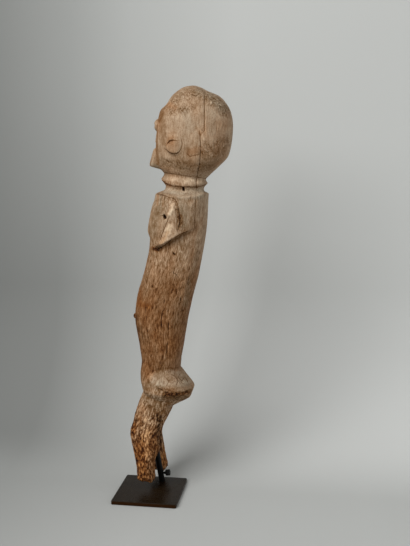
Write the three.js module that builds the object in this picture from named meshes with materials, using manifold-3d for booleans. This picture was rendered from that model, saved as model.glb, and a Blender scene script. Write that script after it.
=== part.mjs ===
// A carved wooden standing figure on a small collector's stand.
//
// Frame: millimetres, +Z up. The figure faces -Y and its own left side is +X.
// The origin is the centre of the base plate's underside.
// The figure is one solid. A plate, a leaning post and a thumb screw carry it.

import * as THREE from 'three';
import { mergeVertices } from 'three/addons/utils/BufferGeometryUtils.js';
import Module from 'manifold-3d';

// Driving dimensions in millimetres
const FIGURE_HEIGHT = 617; // from the worn leg ends to the crown
const FOOT_LIFT = 11.4; // air between the plate and the leg ends
const FIGURE_OFFSET_X = -29; // middle of the two leg ends, from the plate's centre
const FIGURE_OFFSET_Y = 0;

const PLATE_SIDE = 102;
const PLATE_THICKNESS = 6.4;
const PLATE_CORNER_RADIUS = 1.6;
const PLATE_CHAMFER = 0.7;

const POST_DIAMETER = 9.5;
const POST_FOOT = [-34, 12.4]; // where the post's axis meets the top of the plate
const POST_SEAT_DEPTH = 3.6; // how deep the post goes into the plate
const POST_BORE_DEPTH = 14; // how deep the post goes into the wood

// Where the post's axis enters the wood of the crotch, in carving units
const POST_ENTRY_LEVEL = 95;
const POST_ENTRY_Y = -3.5;

const SCREW_DIAMETER = 4;
const SCREW_LIFT = 13.8; // from the plate up to where the screw meets the post's axis
const SCREW_REACH = 2.6; // how far the screw's tip passes the post's near wall
const KNOB_DIAMETER = 10;
const KNOB_LENGTH = 7;
const KNOB_STAND_OFF = 4; // from the post's wall to the knob
const KNOB_NOTCHES = 12; // grooves around the rim for the fingers
const KNOB_NOTCH_DEPTH = 0.7;
const NOTCH_OVERRUN = 1; // how far the notch cuts run past the knob's faces

const FIT_GAP = 0.35; // clearance of every post and screw fit

// The carving is laid out on 617 units from the leg ends to the crown.
const HEIGHT_UNITS = 617;
const UNIT = FIGURE_HEIGHT / HEIGHT_UNITS;

// Finish of each piece
const WOOD = { color: 0x8a6a4c, roughness: 0.85, metalness: 0 };
const PLATE_FINISH = { color: 0x2d2218, roughness: 0.38, metalness: 0.35 };
const BLACK_STEEL = { color: 0x0d0c0c, roughness: 0.42, metalness: 0.6 };

// Facets around each form
const BODY_SIDES = 36;
const SHOULDER_SIDES = 36;
const LEG_SIDES = 18;
const ROUND_SIDES = 24;
const NOSE_SIDES = 16;
const MOUTH_SIDES = 20;
const BALL_SIDES = 16;
const BALL_ROWS = 9;
const NOTCH_SIDES = 6;
const ROW_STEP = 11.5; // height of one row of facets, in carving units

// Station tables: level, front, back, half width, squareness, slope towards the back,
// and droop at the sides. A 1 at the end marks a crisp edge.
const TRUNK = [
  [94, -19, 2, 6.5, 2.2, 0, 0, 1],
  [103, -21, 9, 13, 2.3, 0, 0, 0],
  [116, -18, 30, 25, 2.4, 0, 0, 0],
  [124, -14, 35, 32, 2.5, 0, 0, 0],
  [138, -11, 62.2, 35, 1.9, 0, 0, 1],
  [152.5, -10.8, 67.5, 50, 2.7, 0, 0, 1],
  [167, -14.5, 56, 44, 2.8, 0, -3.5, 0],
  [180, -14.8, 45, 38.5, 2.8, 0, -8, 1],
  [200, -12, 47, 38, 2.8, 0, 0, 1],
  [224, -15.3, 52, 38.5, 2.6, 0, 0, 0],
  [269, -21.2, 60.3, 41.5, 2.6, 0, 0, 0],
  [296, -18, 66.5, 42.5, 2.6, 0, 0, 0],
  [345, -3.5, 79, 43, 2.7, 0, 0, 0],
  [377, 4, 85, 43, 2.7, 0, 0, 0],
  [410, 6.5, 90, 43.5, 2.7, 0, 1, 0],
  [440, 11.5, 92.2, 45, 2.7, 0, 4, 0],
  [460, 15.6, 93, 46.5, 2.6, 0, 5, 1],
  [464, 28.8, 86.5, 31, 2.2, 0.03, 2, 1],
  [470, 29.8, 86.5, 29.5, 2.1, 0.06, 5, 1],
  [478, 22.7, 92.5, 35.5, 2.1, 0.09, 7, 1],
  [485, 28.5, 88.5, 31, 2.1, 0.13, 0, 1],
  [494, 31, 86, 28, 2.1, 0.13, 0, 1],
];

const SHOULDERS = [
  [362, 4, 78, 44.5, 2.8, 0, 0, 0],
  [385, 4, 82.5, 48.5, 2.8, 0, 0, 0],
  [406, 2.5, 87, 49.5, 2.8, 0, 1, 0],
  [429, 7, 91, 49.5, 2.8, 0, 3, 0],
  [449, 12, 92, 48.7, 2.8, 0, 4.5, 0],
  [460, 17, 90.5, 44.5, 2.7, 0, 5.5, 1],
];

const HEAD = [
  [485.5, 27.5, 90, 32.5, 2.1, 0.13, 0, 1],
  [493, 21, 98, 38, 2.2, 0.1, 0, 0],
  [503, 16, 110.5, 43, 2.3, 0.05, 0, 0],
  [514, 12, 123, 46, 2.3, 0, 0, 0],
  [530, 9.5, 127.8, 47.8, 2.3, 0, 0, 0],
  [550, 9.5, 130, 48.3, 2.3, 0, 0, 0],
  [566, 12, 130, 47.8, 2.25, 0, 0, 0],
  [578, 18.6, 127.5, 45.5, 2.2, 0, 0, 0],
  [589, 31.2, 122.3, 42.5, 2.15, 0, 0, 0],
  [600, 38.5, 112.5, 36.5, 2.1, 0, 0, 0],
  [608.5, 48, 94.3, 28.5, 2.1, 0, 0, 0],
  [614, 56.5, 84, 18, 2.1, 0, 0, 0],
  [617, 68, 75, 4, 2, 0, 0, 0],
];

// Legs: level, centre to the side, front, back, half width, squareness
const LEFT_LEG = [
  [0, 26.5, -9, 0, 5, 2.4],
  [2, 26.5, -14, 6, 9.5, 3],
  [5.5, 27, -18.5, 7.6, 15.5, 3],
  [14, 27, -20.5, 6.9, 17.4, 2.4],
  [31, 27, -22, 7, 17.4, 2.4],
  [41, 27.2, -23.9, 8.8, 17.3, 2.4],
  [51, 27.5, -25.8, 13.8, 17.2, 2.4],
  [70, 28, -29.3, 14.6, 16.8, 2.4],
  [84, 27.8, -31.2, 15.4, 17, 2.4],
  [100, 26.4, -26.5, 23.7, 18.8, 2.4],
  [116, 26.2, -22.3, 31.7, 20, 2.4],
  [132, 26.5, -16.8, 34, 20.2, 2.4],
  [150, 26, -9.5, 42, 19, 2.4],
];
const RIGHT_LEG = [
  [1.5, -27, -6, 16, 14, 3.3],
  [3.5, -27, -8.8, 16.8, 16.2, 3.2],
  [14, -26.5, -11, 15, 17.4, 2.6],
  [31, -25, -15, 12.8, 17.4, 2.4],
  [50, -23, -21, 10.5, 17.2, 2.4],
  [70, -20.5, -27.6, 9.5, 16.8, 2.4],
  [84, -18.5, -30.5, 14.2, 17, 2.4],
  [100, -15, -26.5, 22.7, 18.8, 2.4],
  [116, -13.2, -22, 30.2, 20, 2.4],
  [132, -12.5, -16.8, 36.5, 20.2, 2.4],
  [150, -12, -9.5, 42, 19, 2.4],
];

// How the middle of the figure drifts to its left going up
const LEAN_AT_FEET = -1;
const LEAN_REACH = 34;
const LEAN_EASE = 1.1;

const FACE_PLANE = 19.6; // the flat cut of the face, at the ears' level
const FACE_RAKE = 0.1; // how the flat cut leans back going up
const FACE_BLEND = 4; // softness of the face's edge
const FACE_ROOT = 16; // how deep the features go into the head
const FACE_MIDDLE = 33; // the face's middle line
const EYE_SPREAD = 20;
const EYE_LEVEL = 558.5;
const EYE_SIZE = [11.5, 6.4, 9.6];
const EYE_SINK = 0.5; // how far the eye's middle lies behind the face plane
const EYE_SLIT = [17, 3.8, 1.8];

// Nose and mouth: level, reach forward of the face plane, half width
const NOSE = [
  [532, 0.5, 8],
  [535, 6.7, 8.2],
  [547, 6.4, 6],
  [574, 0.5, 4],
];
const MOUTH = [
  [495.5, -6, 22],
  [499.7, 9.2, 26],
  [503, 9.8, 27],
  [512, 8, 28],
  [522, 6, 27],
  [525.2, 5.2, 25],
  [526.7, -3, 22],
];
const MOUTH_SQUARENESS = 3;
const MOUTH_SLIT_ROW = 3; // the station at which the lips meet
const MOUTH_SLIT = [42, 7, 2.2];

const EAR_LEVEL = 527.5;
const EAR_BACK = 51;
const EAR_RADIUS = 11.4;
const EAR_SIDE = 49.7; // from the head's middle to the outer face of the ear
const EAR_ROOT = 14; // how deep the disc goes into the head
const EAR_TURN = 0.2; // radians that the ear's rim stands off towards the back
const EAR_HOLLOW = [2.75, 5.5, 3.75];
const EAR_HOLLOW_AT = [0, -4.5, 5.5];

const NAVEL_LEVEL = 269;
const NAVEL_ASIDE = 4;
const NAVEL_FRONT = -20.8;
const NAVEL_RADIUS = 5;

const HIP_TOP = 188;
const HIP_FRONT_HALF = 40;
const HIP_FRONT_FROM = -10; // the hips start to widen here
const HIP_FRONT_TO = 28; // and are full width from here back
const CLEFT_LEVEL = 149;
const CLEFT_BACK = 70;
const CLEFT_SIZE = [4, 11, 26];

const UNDERCUT_TIP = [20.5, 380]; // across and up: the low point of the shoulder mass
const UNDERCUT_BACK_SLOPE = 0.5;
const UNDERCUT_FRONT_SLOPE = -1.7;

const CHEST_HALF = 8; // the shoulder masses leave the middle of the chest and back free
const CHEST_BLEND = 26; // how far from there they come to their full depth
const CHEST_SINK = 0.16; // share of their depth by which they sink at the middle

const STUMP = { front: 14, back: 50, low: 384, high: 450, proud: 3.4, blend: 16 };

const wasm = await Module();
wasm.setup();
const { Manifold, Mesh } = wasm;

// Turns a closed geometry into a solid that can be joined and cut.
function toSolid(geometry) {
  const bare = geometry.clone();
  bare.deleteAttribute('normal');
  bare.deleteAttribute('uv');
  const merged = mergeVertices(bare);
  return new Manifold(new Mesh({
    numProp: 3,
    vertProperties: new Float32Array(merged.attributes.position.array),
    triVerts: new Uint32Array(merged.index.array),
  }));
}

// Turns a solid back into a geometry with flat facets.
function toGeometry(solid) {
  const mesh = solid.getMesh();
  const geometry = new THREE.BufferGeometry();
  geometry.setAttribute('position', new THREE.BufferAttribute(mesh.vertProperties, 3));
  geometry.setIndex(new THREE.BufferAttribute(mesh.triVerts, 1));
  geometry.computeVertexNormals();
  return geometry;
}

function joinAll(solids) {
  return solids.reduce((whole, next) => whole.add(next));
}

// Cubic interpolation of every column of a table along the table's own length, which is
// measured over its first four columns. The curve breaks where the crisp column is 1.
function alongStations(table, columns, crispColumn) {
  const places = [0];
  for (let i = 1; i < table.length; i += 1) {
    const sizes = [0, 1, 2, 3].map((c) => table[i][c] - table[i - 1][c]);
    places.push(places[i - 1] + Math.hypot(...sizes));
  }
  const isCrisp = (i) => crispColumn >= 0 && table[i][crispColumn] === 1;
  const steepness = (i, c) => (table[i + 1][c] - table[i][c]) / (places[i + 1] - places[i]);
  const tangent = (i, c, forward) => {
    const last = table.length - 1;
    if (i === 0) return steepness(0, c);
    if (i === last) return steepness(last - 1, c);
    if (isCrisp(i)) return forward ? steepness(i, c) : steepness(i - 1, c);
    const before = places[i] - places[i - 1];
    const after = places[i + 1] - places[i];
    return (steepness(i - 1, c) * after + steepness(i, c) * before) / (before + after);
  };
  const sample = (i, t) => {
    const length = places[i + 1] - places[i];
    const row = [];
    for (let c = 0; c < columns; c += 1) {
      const a = table[i][c];
      const b = table[i + 1][c];
      const ta = tangent(i, c, true) * length;
      const tb = tangent(i + 1, c, false) * length;
      const t2 = t * t;
      const t3 = t2 * t;
      const towards = 3 * t2 - 2 * t3;
      const ends = (1 - towards) * a + towards * b;
      row.push(ends + (t3 - 2 * t2 + t) * ta + (t3 - t2) * tb);
    }
    return row;
  };
  const rows = [];
  for (let i = 0; i < table.length - 1; i += 1) {
    const steps = Math.max(1, Math.round((places[i + 1] - places[i]) / ROW_STEP));
    for (let s = 0; s < steps; s += 1) rows.push(sample(i, s / steps));
  }
  rows.push(sample(table.length - 2, 1));
  return rows;
}

// Skins a stack of rings, each with the same number of points, and closes both ends.
function skin(rings) {
  const sides = rings[0].length;
  const positions = [];
  const index = [];
  const middleOf = (ring) => ring
    .reduce((sum, p) => sum.add(p), new THREE.Vector3())
    .divideScalar(sides);
  rings.forEach((ring) => ring.forEach((p) => positions.push(p.x, p.y, p.z)));
  for (let r = 0; r < rings.length - 1; r += 1) {
    for (let s = 0; s < sides; s += 1) {
      const a = r * sides + s;
      const b = r * sides + ((s + 1) % sides);
      index.push(a, b, a + sides, b, b + sides, a + sides);
    }
  }
  const low = middleOf(rings[0]);
  const high = middleOf(rings[rings.length - 1]);
  const lowIndex = rings.length * sides;
  const topStart = (rings.length - 1) * sides;
  positions.push(low.x, low.y, low.z, high.x, high.y, high.z);
  for (let s = 0; s < sides; s += 1) {
    const next = (s + 1) % sides;
    index.push(lowIndex, next, s);
    index.push(lowIndex + 1, topStart + s, topStart + next);
  }
  const geometry = new THREE.BufferGeometry();
  geometry.setAttribute('position', new THREE.Float32BufferAttribute(positions, 3));
  geometry.setIndex(index);
  return geometry;
}

function signedPower(value, power) {
  return Math.sign(value) * Math.abs(value) ** power;
}

// The figure's middle line at a level, to its left: a quarter of a sine wave.
function leanAt(level) {
  const share = Math.max(0, level) / HEIGHT_UNITS;
  return LEAN_AT_FEET + LEAN_REACH * Math.sin((Math.PI / 2) * share ** LEAN_EASE);
}

// One ring of a rounded section, in carving units.
function sectionRing(row, sides, centreX, shape) {
  const [level, front, back, half, squareness, slope, droop] = row;
  const centreY = (front + back) / 2;
  const depth = (back - front) / 2;
  const ring = [];
  for (let s = 0; s < sides; s += 1) {
    const angle = (s / sides) * 2 * Math.PI;
    const across = signedPower(Math.cos(angle), 2 / squareness);
    const along = signedPower(Math.sin(angle), 2 / squareness);
    const point = new THREE.Vector3(
      centreX + half * across,
      centreY + depth * along,
      level - slope * depth * along - droop * across * across,
    );
    ring.push(shape ? shape(point, centreY) : point);
  }
  return ring;
}

// The hips only widen behind the thighs, so the thighs run up into the belly.
function narrowHipFront(point) {
  if (point.z > HIP_TOP) return point;
  const middle = leanAt(point.z);
  const aside = Math.abs(point.x - middle);
  const narrowed = Math.min(1, HIP_FRONT_HALF / Math.max(aside, 1));
  const kept = THREE.MathUtils.smoothstep(point.y, HIP_FRONT_FROM, HIP_FRONT_TO);
  point.x = middle + (point.x - middle) * THREE.MathUtils.lerp(narrowed, 1, kept);
  return point;
}

function bodyForm(table, sides, shape) {
  const rows = alongStations(table, 7, 7);
  return toSolid(skin(rows.map((row) => sectionRing(row, sides, leanAt(row[0]), shape))));
}

function legForm(table) {
  const rows = alongStations(table, 6, -1);
  return toSolid(skin(rows.map(([level, side, front, back, half, squareness]) => (
    sectionRing([level, front, back, half, squareness, 0, 0], LEG_SIDES, side)
  ))));
}

function facePlaneAt(level) {
  return FACE_PLANE + FACE_RAKE * (level - EAR_LEVEL);
}

// Cuts the face flat: no point of the head comes further forward than the face plane.
function flattenFace(point) {
  const over = facePlaneAt(point.z) - point.y;
  point.y += (over + Math.sqrt(over * over + FACE_BLEND * FACE_BLEND)) / 2;
  return point;
}

// The masses of the two shoulders sink into the trunk towards the middle, and a torn arm stump
// stands proud on each side.
function shapeShoulder(point, centreY) {
  const rise = (value, from, to) => THREE.MathUtils.smoothstep(value, from, to);
  const across = point.x - leanAt(point.z);
  const sink = CHEST_SINK * (1 - rise(Math.abs(across), CHEST_HALF, CHEST_HALF + CHEST_BLEND));
  point.y += (centreY - point.y) * sink;
  const inDepth = rise(point.y, STUMP.front - STUMP.blend, STUMP.front)
    * (1 - rise(point.y, STUMP.back, STUMP.back + STUMP.blend));
  const inHeight = rise(point.z, STUMP.low - STUMP.blend, STUMP.low)
    * (1 - rise(point.z, STUMP.high - STUMP.blend, STUMP.high));
  point.x += Math.sign(across) * STUMP.proud * inDepth * inHeight;
  return point;
}

// A large block whose lower face is the cutting plane through a line across the figure.
function blockBelow(tip, slope, size) {
  const block = new THREE.BoxGeometry(size, size, size);
  block.translate(0, 0, -size / 2);
  block.rotateX(Math.atan(slope));
  block.translate(0, tip[0], tip[1]);
  return toSolid(block);
}

// The shoulder mass ends below in a sharp V-shaped undercut.
function shoulderForm() {
  const whole = bodyForm(SHOULDERS, SHOULDER_SIDES, shapeShoulder);
  const below = blockBelow(UNDERCUT_TIP, UNDERCUT_BACK_SLOPE, HEIGHT_UNITS);
  const belowFront = blockBelow(UNDERCUT_TIP, UNDERCUT_FRONT_SLOPE, HEIGHT_UNITS);
  return whole.subtract(below).subtract(belowFront);
}

function ellipsoid(centre, size) {
  const ball = new THREE.SphereGeometry(1, BALL_SIDES, BALL_ROWS);
  ball.scale(...size);
  ball.translate(...centre);
  return toSolid(ball);
}

function block(centre, size) {
  const box = new THREE.BoxGeometry(...size);
  box.translate(...centre);
  return toSolid(box);
}

// A round-lidded eye with a level slit.
function eye(side) {
  const x = FACE_MIDDLE + side * EYE_SPREAD;
  const y = facePlaneAt(EYE_LEVEL) + EYE_SINK;
  const lid = ellipsoid([x, y, EYE_LEVEL], EYE_SIZE);
  return lid.subtract(block([x, y - EYE_SIZE[1], EYE_LEVEL], EYE_SLIT));
}

// A form that stands on the face, from its own station table.
function faceForm(stations, squareness, sides) {
  return toSolid(skin(stations.map(([level, reach, half]) => {
    const face = facePlaneAt(level);
    const row = [level, face - reach, face + FACE_ROOT, half, squareness, 0, 0];
    return sectionRing(row, sides, FACE_MIDDLE);
  })));
}

// The mouth is a broad block that juts from the jaw, with one slit.
function mouth() {
  const [level, reach] = MOUTH[MOUTH_SLIT_ROW];
  const slit = block([FACE_MIDDLE, facePlaneAt(level) - reach, level], MOUTH_SLIT);
  return faceForm(MOUTH, MOUTH_SQUARENESS, MOUTH_SIDES).subtract(slit);
}

// A round disc of an ear, proud at the back and sunk at the front, with a small hollow.
function ear(side) {
  const disc = new THREE.CylinderGeometry(EAR_RADIUS, EAR_RADIUS + 0.8, EAR_ROOT, ROUND_SIDES);
  disc.rotateZ(-Math.PI / 2);
  disc.translate(-EAR_ROOT / 2, 0, 0);
  disc.rotateZ(EAR_TURN);
  const solid = toSolid(disc).subtract(ellipsoid(EAR_HOLLOW_AT, EAR_HOLLOW));
  const placed = solid.translate([EAR_SIDE, EAR_BACK, EAR_LEVEL]);
  const both = side > 0 ? placed : placed.mirror([1, 0, 0]);
  return both.translate([leanAt(EAR_LEVEL), 0, 0]);
}

function navel() {
  const place = [leanAt(NAVEL_LEVEL) + NAVEL_ASIDE, NAVEL_FRONT, NAVEL_LEVEL];
  return ellipsoid(place, [NAVEL_RADIUS, NAVEL_RADIUS, NAVEL_RADIUS]);
}

// The groove between the buttocks.
function cleft() {
  return ellipsoid([leanAt(CLEFT_LEVEL), CLEFT_BACK, CLEFT_LEVEL], CLEFT_SIZE);
}

// The whole carved figure in its place, before the post is fitted.
function figureForm() {
  const carving = joinAll([
    bodyForm(TRUNK, BODY_SIDES, narrowHipFront),
    shoulderForm(),
    bodyForm(HEAD, BODY_SIDES, flattenFace),
    legForm(LEFT_LEG),
    legForm(RIGHT_LEG),
    navel(),
    faceForm(NOSE, 2, NOSE_SIDES),
    mouth(),
    eye(1),
    eye(-1),
    ear(1),
    ear(-1),
  ]);
  return carving
    .subtract(cleft())
    .scale([UNIT, UNIT, UNIT])
    .translate([FIGURE_OFFSET_X, FIGURE_OFFSET_Y, PLATE_THICKNESS + FOOT_LIFT]);
}

// A round bar along +Y from one height to another, as a closed solid.
function uprightBar(low, high, radius, sides = ROUND_SIDES) {
  const geometry = new THREE.CylinderGeometry(radius, radius, high - low, sides);
  geometry.translate(0, (low + high) / 2, 0);
  return toSolid(geometry);
}

// Brings a solid that was built along +Y to a place and a direction.
function placeAlong(solid, place, direction) {
  const turn = new THREE.Quaternion()
    .setFromUnitVectors(new THREE.Vector3(0, 1, 0), direction.clone().normalize());
  const matrix = new THREE.Matrix4().makeRotationFromQuaternion(turn).setPosition(place);
  return solid.transform(matrix.elements);
}

// A round bar between two points, as a closed solid.
function bar(from, to, radius) {
  return placeAlong(uprightBar(0, from.distanceTo(to), radius), from, to.clone().sub(from));
}

// A many-sided hole clears a round bar of this radius all the way round.
function clearRadius(radius) {
  return (radius + FIT_GAP) / Math.cos(Math.PI / ROUND_SIDES);
}

// The post's axis runs from the plate up into the crotch of the figure.
const footLevel = PLATE_THICKNESS + FOOT_LIFT;
const crotch = new THREE.Vector3(
  FIGURE_OFFSET_X + leanAt(POST_ENTRY_LEVEL) * UNIT,
  FIGURE_OFFSET_Y + POST_ENTRY_Y * UNIT,
  footLevel + POST_ENTRY_LEVEL * UNIT,
);
const postFoot = new THREE.Vector3(...POST_FOOT, PLATE_THICKNESS);
const postAxis = crotch.clone().sub(postFoot).normalize();
const postLow = postFoot.clone().addScaledVector(postAxis, -POST_SEAT_DEPTH);
const postTop = crotch.clone().addScaledVector(postAxis, POST_BORE_DEPTH);
const postRadius = POST_DIAMETER / 2;
const postRoom = bar(
  postLow.clone().addScaledVector(postAxis, -FIT_GAP),
  postTop.clone().addScaledVector(postAxis, FIT_GAP),
  clearRadius(postRadius),
);

// The screw stands square to the leaning post, on the side of the figure's back.
const screwStart = postFoot.clone().addScaledVector(postAxis, SCREW_LIFT / postAxis.z);
const screwAxis = new THREE.Vector3(0, 1, 0).addScaledVector(postAxis, -postAxis.y).normalize();
const alongScrew = (reach) => screwStart.clone().addScaledVector(screwAxis, reach);
const tipReach = postRadius - SCREW_REACH;
const knobReach = postRadius + KNOB_STAND_OFF;
const knobFar = alongScrew(knobReach + KNOB_LENGTH);
const screwRoom = bar(alongScrew(tipReach - FIT_GAP), knobFar, clearRadius(SCREW_DIAMETER / 2));
const knobRoom = bar(alongScrew(knobReach), knobFar, clearRadius(KNOB_DIAMETER / 2));

function figureSolid() {
  return figureForm().subtract(postRoom).subtract(screwRoom).subtract(knobRoom);
}

// A square plate with small round corners and a chamfer all around its two faces.
function plateSolid() {
  const half = PLATE_SIDE / 2 - PLATE_CHAMFER;
  const radius = PLATE_CORNER_RADIUS;
  const outline = new THREE.Shape();
  outline.absarc(half - radius, half - radius, radius, 0, Math.PI / 2);
  outline.absarc(radius - half, half - radius, radius, Math.PI / 2, Math.PI);
  outline.absarc(radius - half, radius - half, radius, Math.PI, 1.5 * Math.PI);
  outline.absarc(half - radius, radius - half, radius, 1.5 * Math.PI, 2 * Math.PI);
  outline.closePath();
  const geometry = new THREE.ExtrudeGeometry(outline, {
    depth: PLATE_THICKNESS - 2 * PLATE_CHAMFER,
    bevelEnabled: true,
    bevelThickness: PLATE_CHAMFER,
    bevelSize: PLATE_CHAMFER,
    bevelSegments: 1,
    curveSegments: 4,
  });
  geometry.translate(0, 0, PLATE_CHAMFER);
  return toSolid(geometry).subtract(postRoom);
}

function postSolid() {
  return bar(postLow, postTop, postRadius).subtract(screwRoom);
}

// A thumb screw: a plain shank and a round knob with notches around its rim.
function screwSolid() {
  const far = knobReach + KNOB_LENGTH;
  const shank = uprightBar(tipReach, far, SCREW_DIAMETER / 2);
  const notch = uprightBar(knobReach - NOTCH_OVERRUN, far + NOTCH_OVERRUN, KNOB_NOTCH_DEPTH, NOTCH_SIDES)
    .translate([0, 0, KNOB_DIAMETER / 2]);
  let knob = uprightBar(knobReach, far, KNOB_DIAMETER / 2, 2 * KNOB_NOTCHES);
  for (let i = 0; i < KNOB_NOTCHES; i += 1) {
    knob = knob.subtract(notch.rotate([0, (i / KNOB_NOTCHES) * 360, 0]));
  }
  return placeAlong(shank.add(knob), screwStart, screwAxis);
}

function namedMesh(name, solid, finish) {
  const mesh = new THREE.Mesh(toGeometry(solid), new THREE.MeshStandardMaterial(finish));
  mesh.name = name;
  return mesh;
}

const part = new THREE.Group();
part.add(namedMesh('figure', figureSolid(), WOOD));
part.add(namedMesh('base_plate', plateSolid(), PLATE_FINISH));
part.add(namedMesh('post', postSolid(), BLACK_STEEL));
part.add(namedMesh('clamp_screw', screwSolid(), BLACK_STEEL));

export default part;
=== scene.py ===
import logging
import math
from dataclasses import dataclass
from enum import Enum
from typing import Sequence

import bmesh
import bpy
import numpy as np
from mathutils import Matrix, Vector


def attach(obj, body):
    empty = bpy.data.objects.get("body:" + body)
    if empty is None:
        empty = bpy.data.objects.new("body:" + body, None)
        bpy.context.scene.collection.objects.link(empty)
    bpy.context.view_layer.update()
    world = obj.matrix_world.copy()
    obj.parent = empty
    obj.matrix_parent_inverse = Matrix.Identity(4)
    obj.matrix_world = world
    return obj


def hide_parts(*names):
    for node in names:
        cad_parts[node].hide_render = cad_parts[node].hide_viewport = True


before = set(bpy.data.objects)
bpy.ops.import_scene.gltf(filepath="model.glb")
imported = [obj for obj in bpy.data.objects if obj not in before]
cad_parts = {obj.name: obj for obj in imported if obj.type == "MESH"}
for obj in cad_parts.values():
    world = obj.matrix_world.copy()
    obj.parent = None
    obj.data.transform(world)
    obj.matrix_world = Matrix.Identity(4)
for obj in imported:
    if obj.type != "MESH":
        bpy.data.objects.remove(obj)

"""Dresses a weathered carved standing figure, held up by a rod on a square metal plate.

Lengths in the tables are millimetres, and meshes are written in metres. The figure faces -Y,
its own left is +X, and the plate's underside lies at z = 0.
"""

LOG = logging.getLogger("standing_figure")
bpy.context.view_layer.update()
MM = 0.001

# Where the carving stands on its plate, and how its height is counted
FIGURE_OFFSET = np.array([-29.0, 0.0, 17.8])
FIGURE_HEIGHT = 617.0
LEAN_AT_FEET = -1.0
LEAN_REACH = 34.0
LEAN_EASE = 1.1

Array = np.ndarray
Pair, Triple = tuple[float, float], tuple[float, float, float]
Mesh, Object, Material = bpy.types.Mesh, bpy.types.Object, bpy.types.Material
Tree, Node, Socket = bpy.types.NodeTree, bpy.types.Node, bpy.types.NodeSocket


def srgb(red: float, green: float, blue: float) -> tuple[float, float, float, float]:
    """Turns a display colour of 0 to 255 into the linear colour that a shader takes.

    Args:
        red: The red share, 0 to 255.
        green: The green share, 0 to 255.
        blue: The blue share, 0 to 255.

    Returns:
        Linear red, green and blue, and an alpha of one.
    """
    shares = [channel / 255.0 for channel in (red, green, blue)]
    linear = [s / 12.92 if s <= 0.04045 else ((s + 0.055) / 1.055) ** 2.4 for s in shares]
    return (linear[0], linear[1], linear[2], 1.0)


def ease(value: Array, start: float, end: float) -> Array:
    """Rises smoothly from 0 at start to 1 at end: t * t * (3 - 2t) of the share t of the way."""
    share = np.clip((value - start) / (end - start), 0.0, 1.0)
    return share * share * (3.0 - 2.0 * share)


class Noise:
    """Seeded noise over whole arrays of points."""

    VECTORS = 256
    CELL_MIX = np.array([374761393, 668265263, 1442695041])
    SEED_MIX, BIT_MIX = 974711, 1274126177
    REACH = 1.7
    LAYER_SHIFT = 17.3
    SPOT_ROOM = 0.45

    def __init__(self, seed: int) -> None:
        """Draws the random unit vectors of this noise.

        Args:
            seed: The seed that makes it the same on every run.
        """
        self.seed = seed
        drawn = np.random.default_rng(seed).normal(size=(self.VECTORS, 3))
        self.vectors = drawn / np.linalg.norm(drawn, axis=1, keepdims=True)

    def _pick(self, cells: Array) -> Array:
        """Gives each lattice cell a number below VECTORS by mixing its three indices.

        Args:
            cells: Whole-number cell indices, one row a point.

        Returns:
            One index into the random vectors a row.
        """
        total = (cells.astype(np.int64) * self.CELL_MIX).sum(axis=-1) + self.seed * self.SEED_MIX
        total = (total ^ (total >> 13)) * self.BIT_MIX
        return (total ^ (total >> 16)) % self.VECTORS

    def smooth(self, points: Array) -> Array:
        """Gradient noise: each cell corner's random vector times the way from that corner,
        blended over the cell with a quintic step.

        Args:
            points: Points, one row each, with one unit a cell.

        Returns:
            Values between about -1 and 1.
        """
        cells = np.floor(points)
        part = points - cells
        blend = part ** 3 * (part * (part * 6.0 - 15.0) + 10.0)
        total = np.zeros(len(points))
        for corner in np.ndindex(2, 2, 2):
            offset = np.array(corner, float)
            vectors = self.vectors[self._pick(cells + offset)]
            weight = np.where(offset > 0.5, blend, 1.0 - blend).prod(axis=1)
            total += weight * ((part - offset) * vectors).sum(axis=1)
        return total * self.REACH

    def layered(self, points: Array, layers: int, gain: float = 0.5) -> Array:
        """Adds up finer and weaker layers of the noise, each twice as fine as the last.

        Args:
            points: Points, one row each.
            layers: How many layers.
            gain: The strength of each layer beside the one before.

        Returns:
            Values between about -1 and 1.
        """
        total = np.zeros(len(points))
        strength, reach = 1.0, 0.0
        for layer in range(layers):
            total += strength * self.smooth(points * 2.0 ** layer + self.LAYER_SHIFT * layer)
            reach += strength
            strength *= gain
        return total / reach

    def pits(self, points: Array) -> Array:
        """Distance to the nearest of one random spot in every cell.

        Args:
            points: Points, one row each, with one unit a cell.

        Returns:
            Distances, in cells.
        """
        cells = np.floor(points)
        nearest = np.full(len(points), 9.0)
        for corner in np.ndindex(3, 3, 3):
            near = cells + (np.array(corner, float) - 1.0)
            spot = near + 0.5 + self.SPOT_ROOM * self.vectors[self._pick(near)]
            nearest = np.minimum(nearest, np.linalg.norm(points - spot, axis=1))
        return nearest


@dataclass(frozen=True)
class Layers:
    """One layered noise over the figure: its seed, its coarsest cell in millimetres, how many
    layers it has, the strength of each beside the one before, and a shift in cells."""

    seed: int
    cell_mm: Triple
    count: int = 2
    gain: float = 0.5
    shift: float = 0.0

    def over(self, points: Array) -> Array:
        """Values between about -1 and 1 at points in millimetres."""
        cells = points / np.array(self.cell_mm) + self.shift
        return Noise(self.seed).layered(cells, self.count, self.gain)


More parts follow.
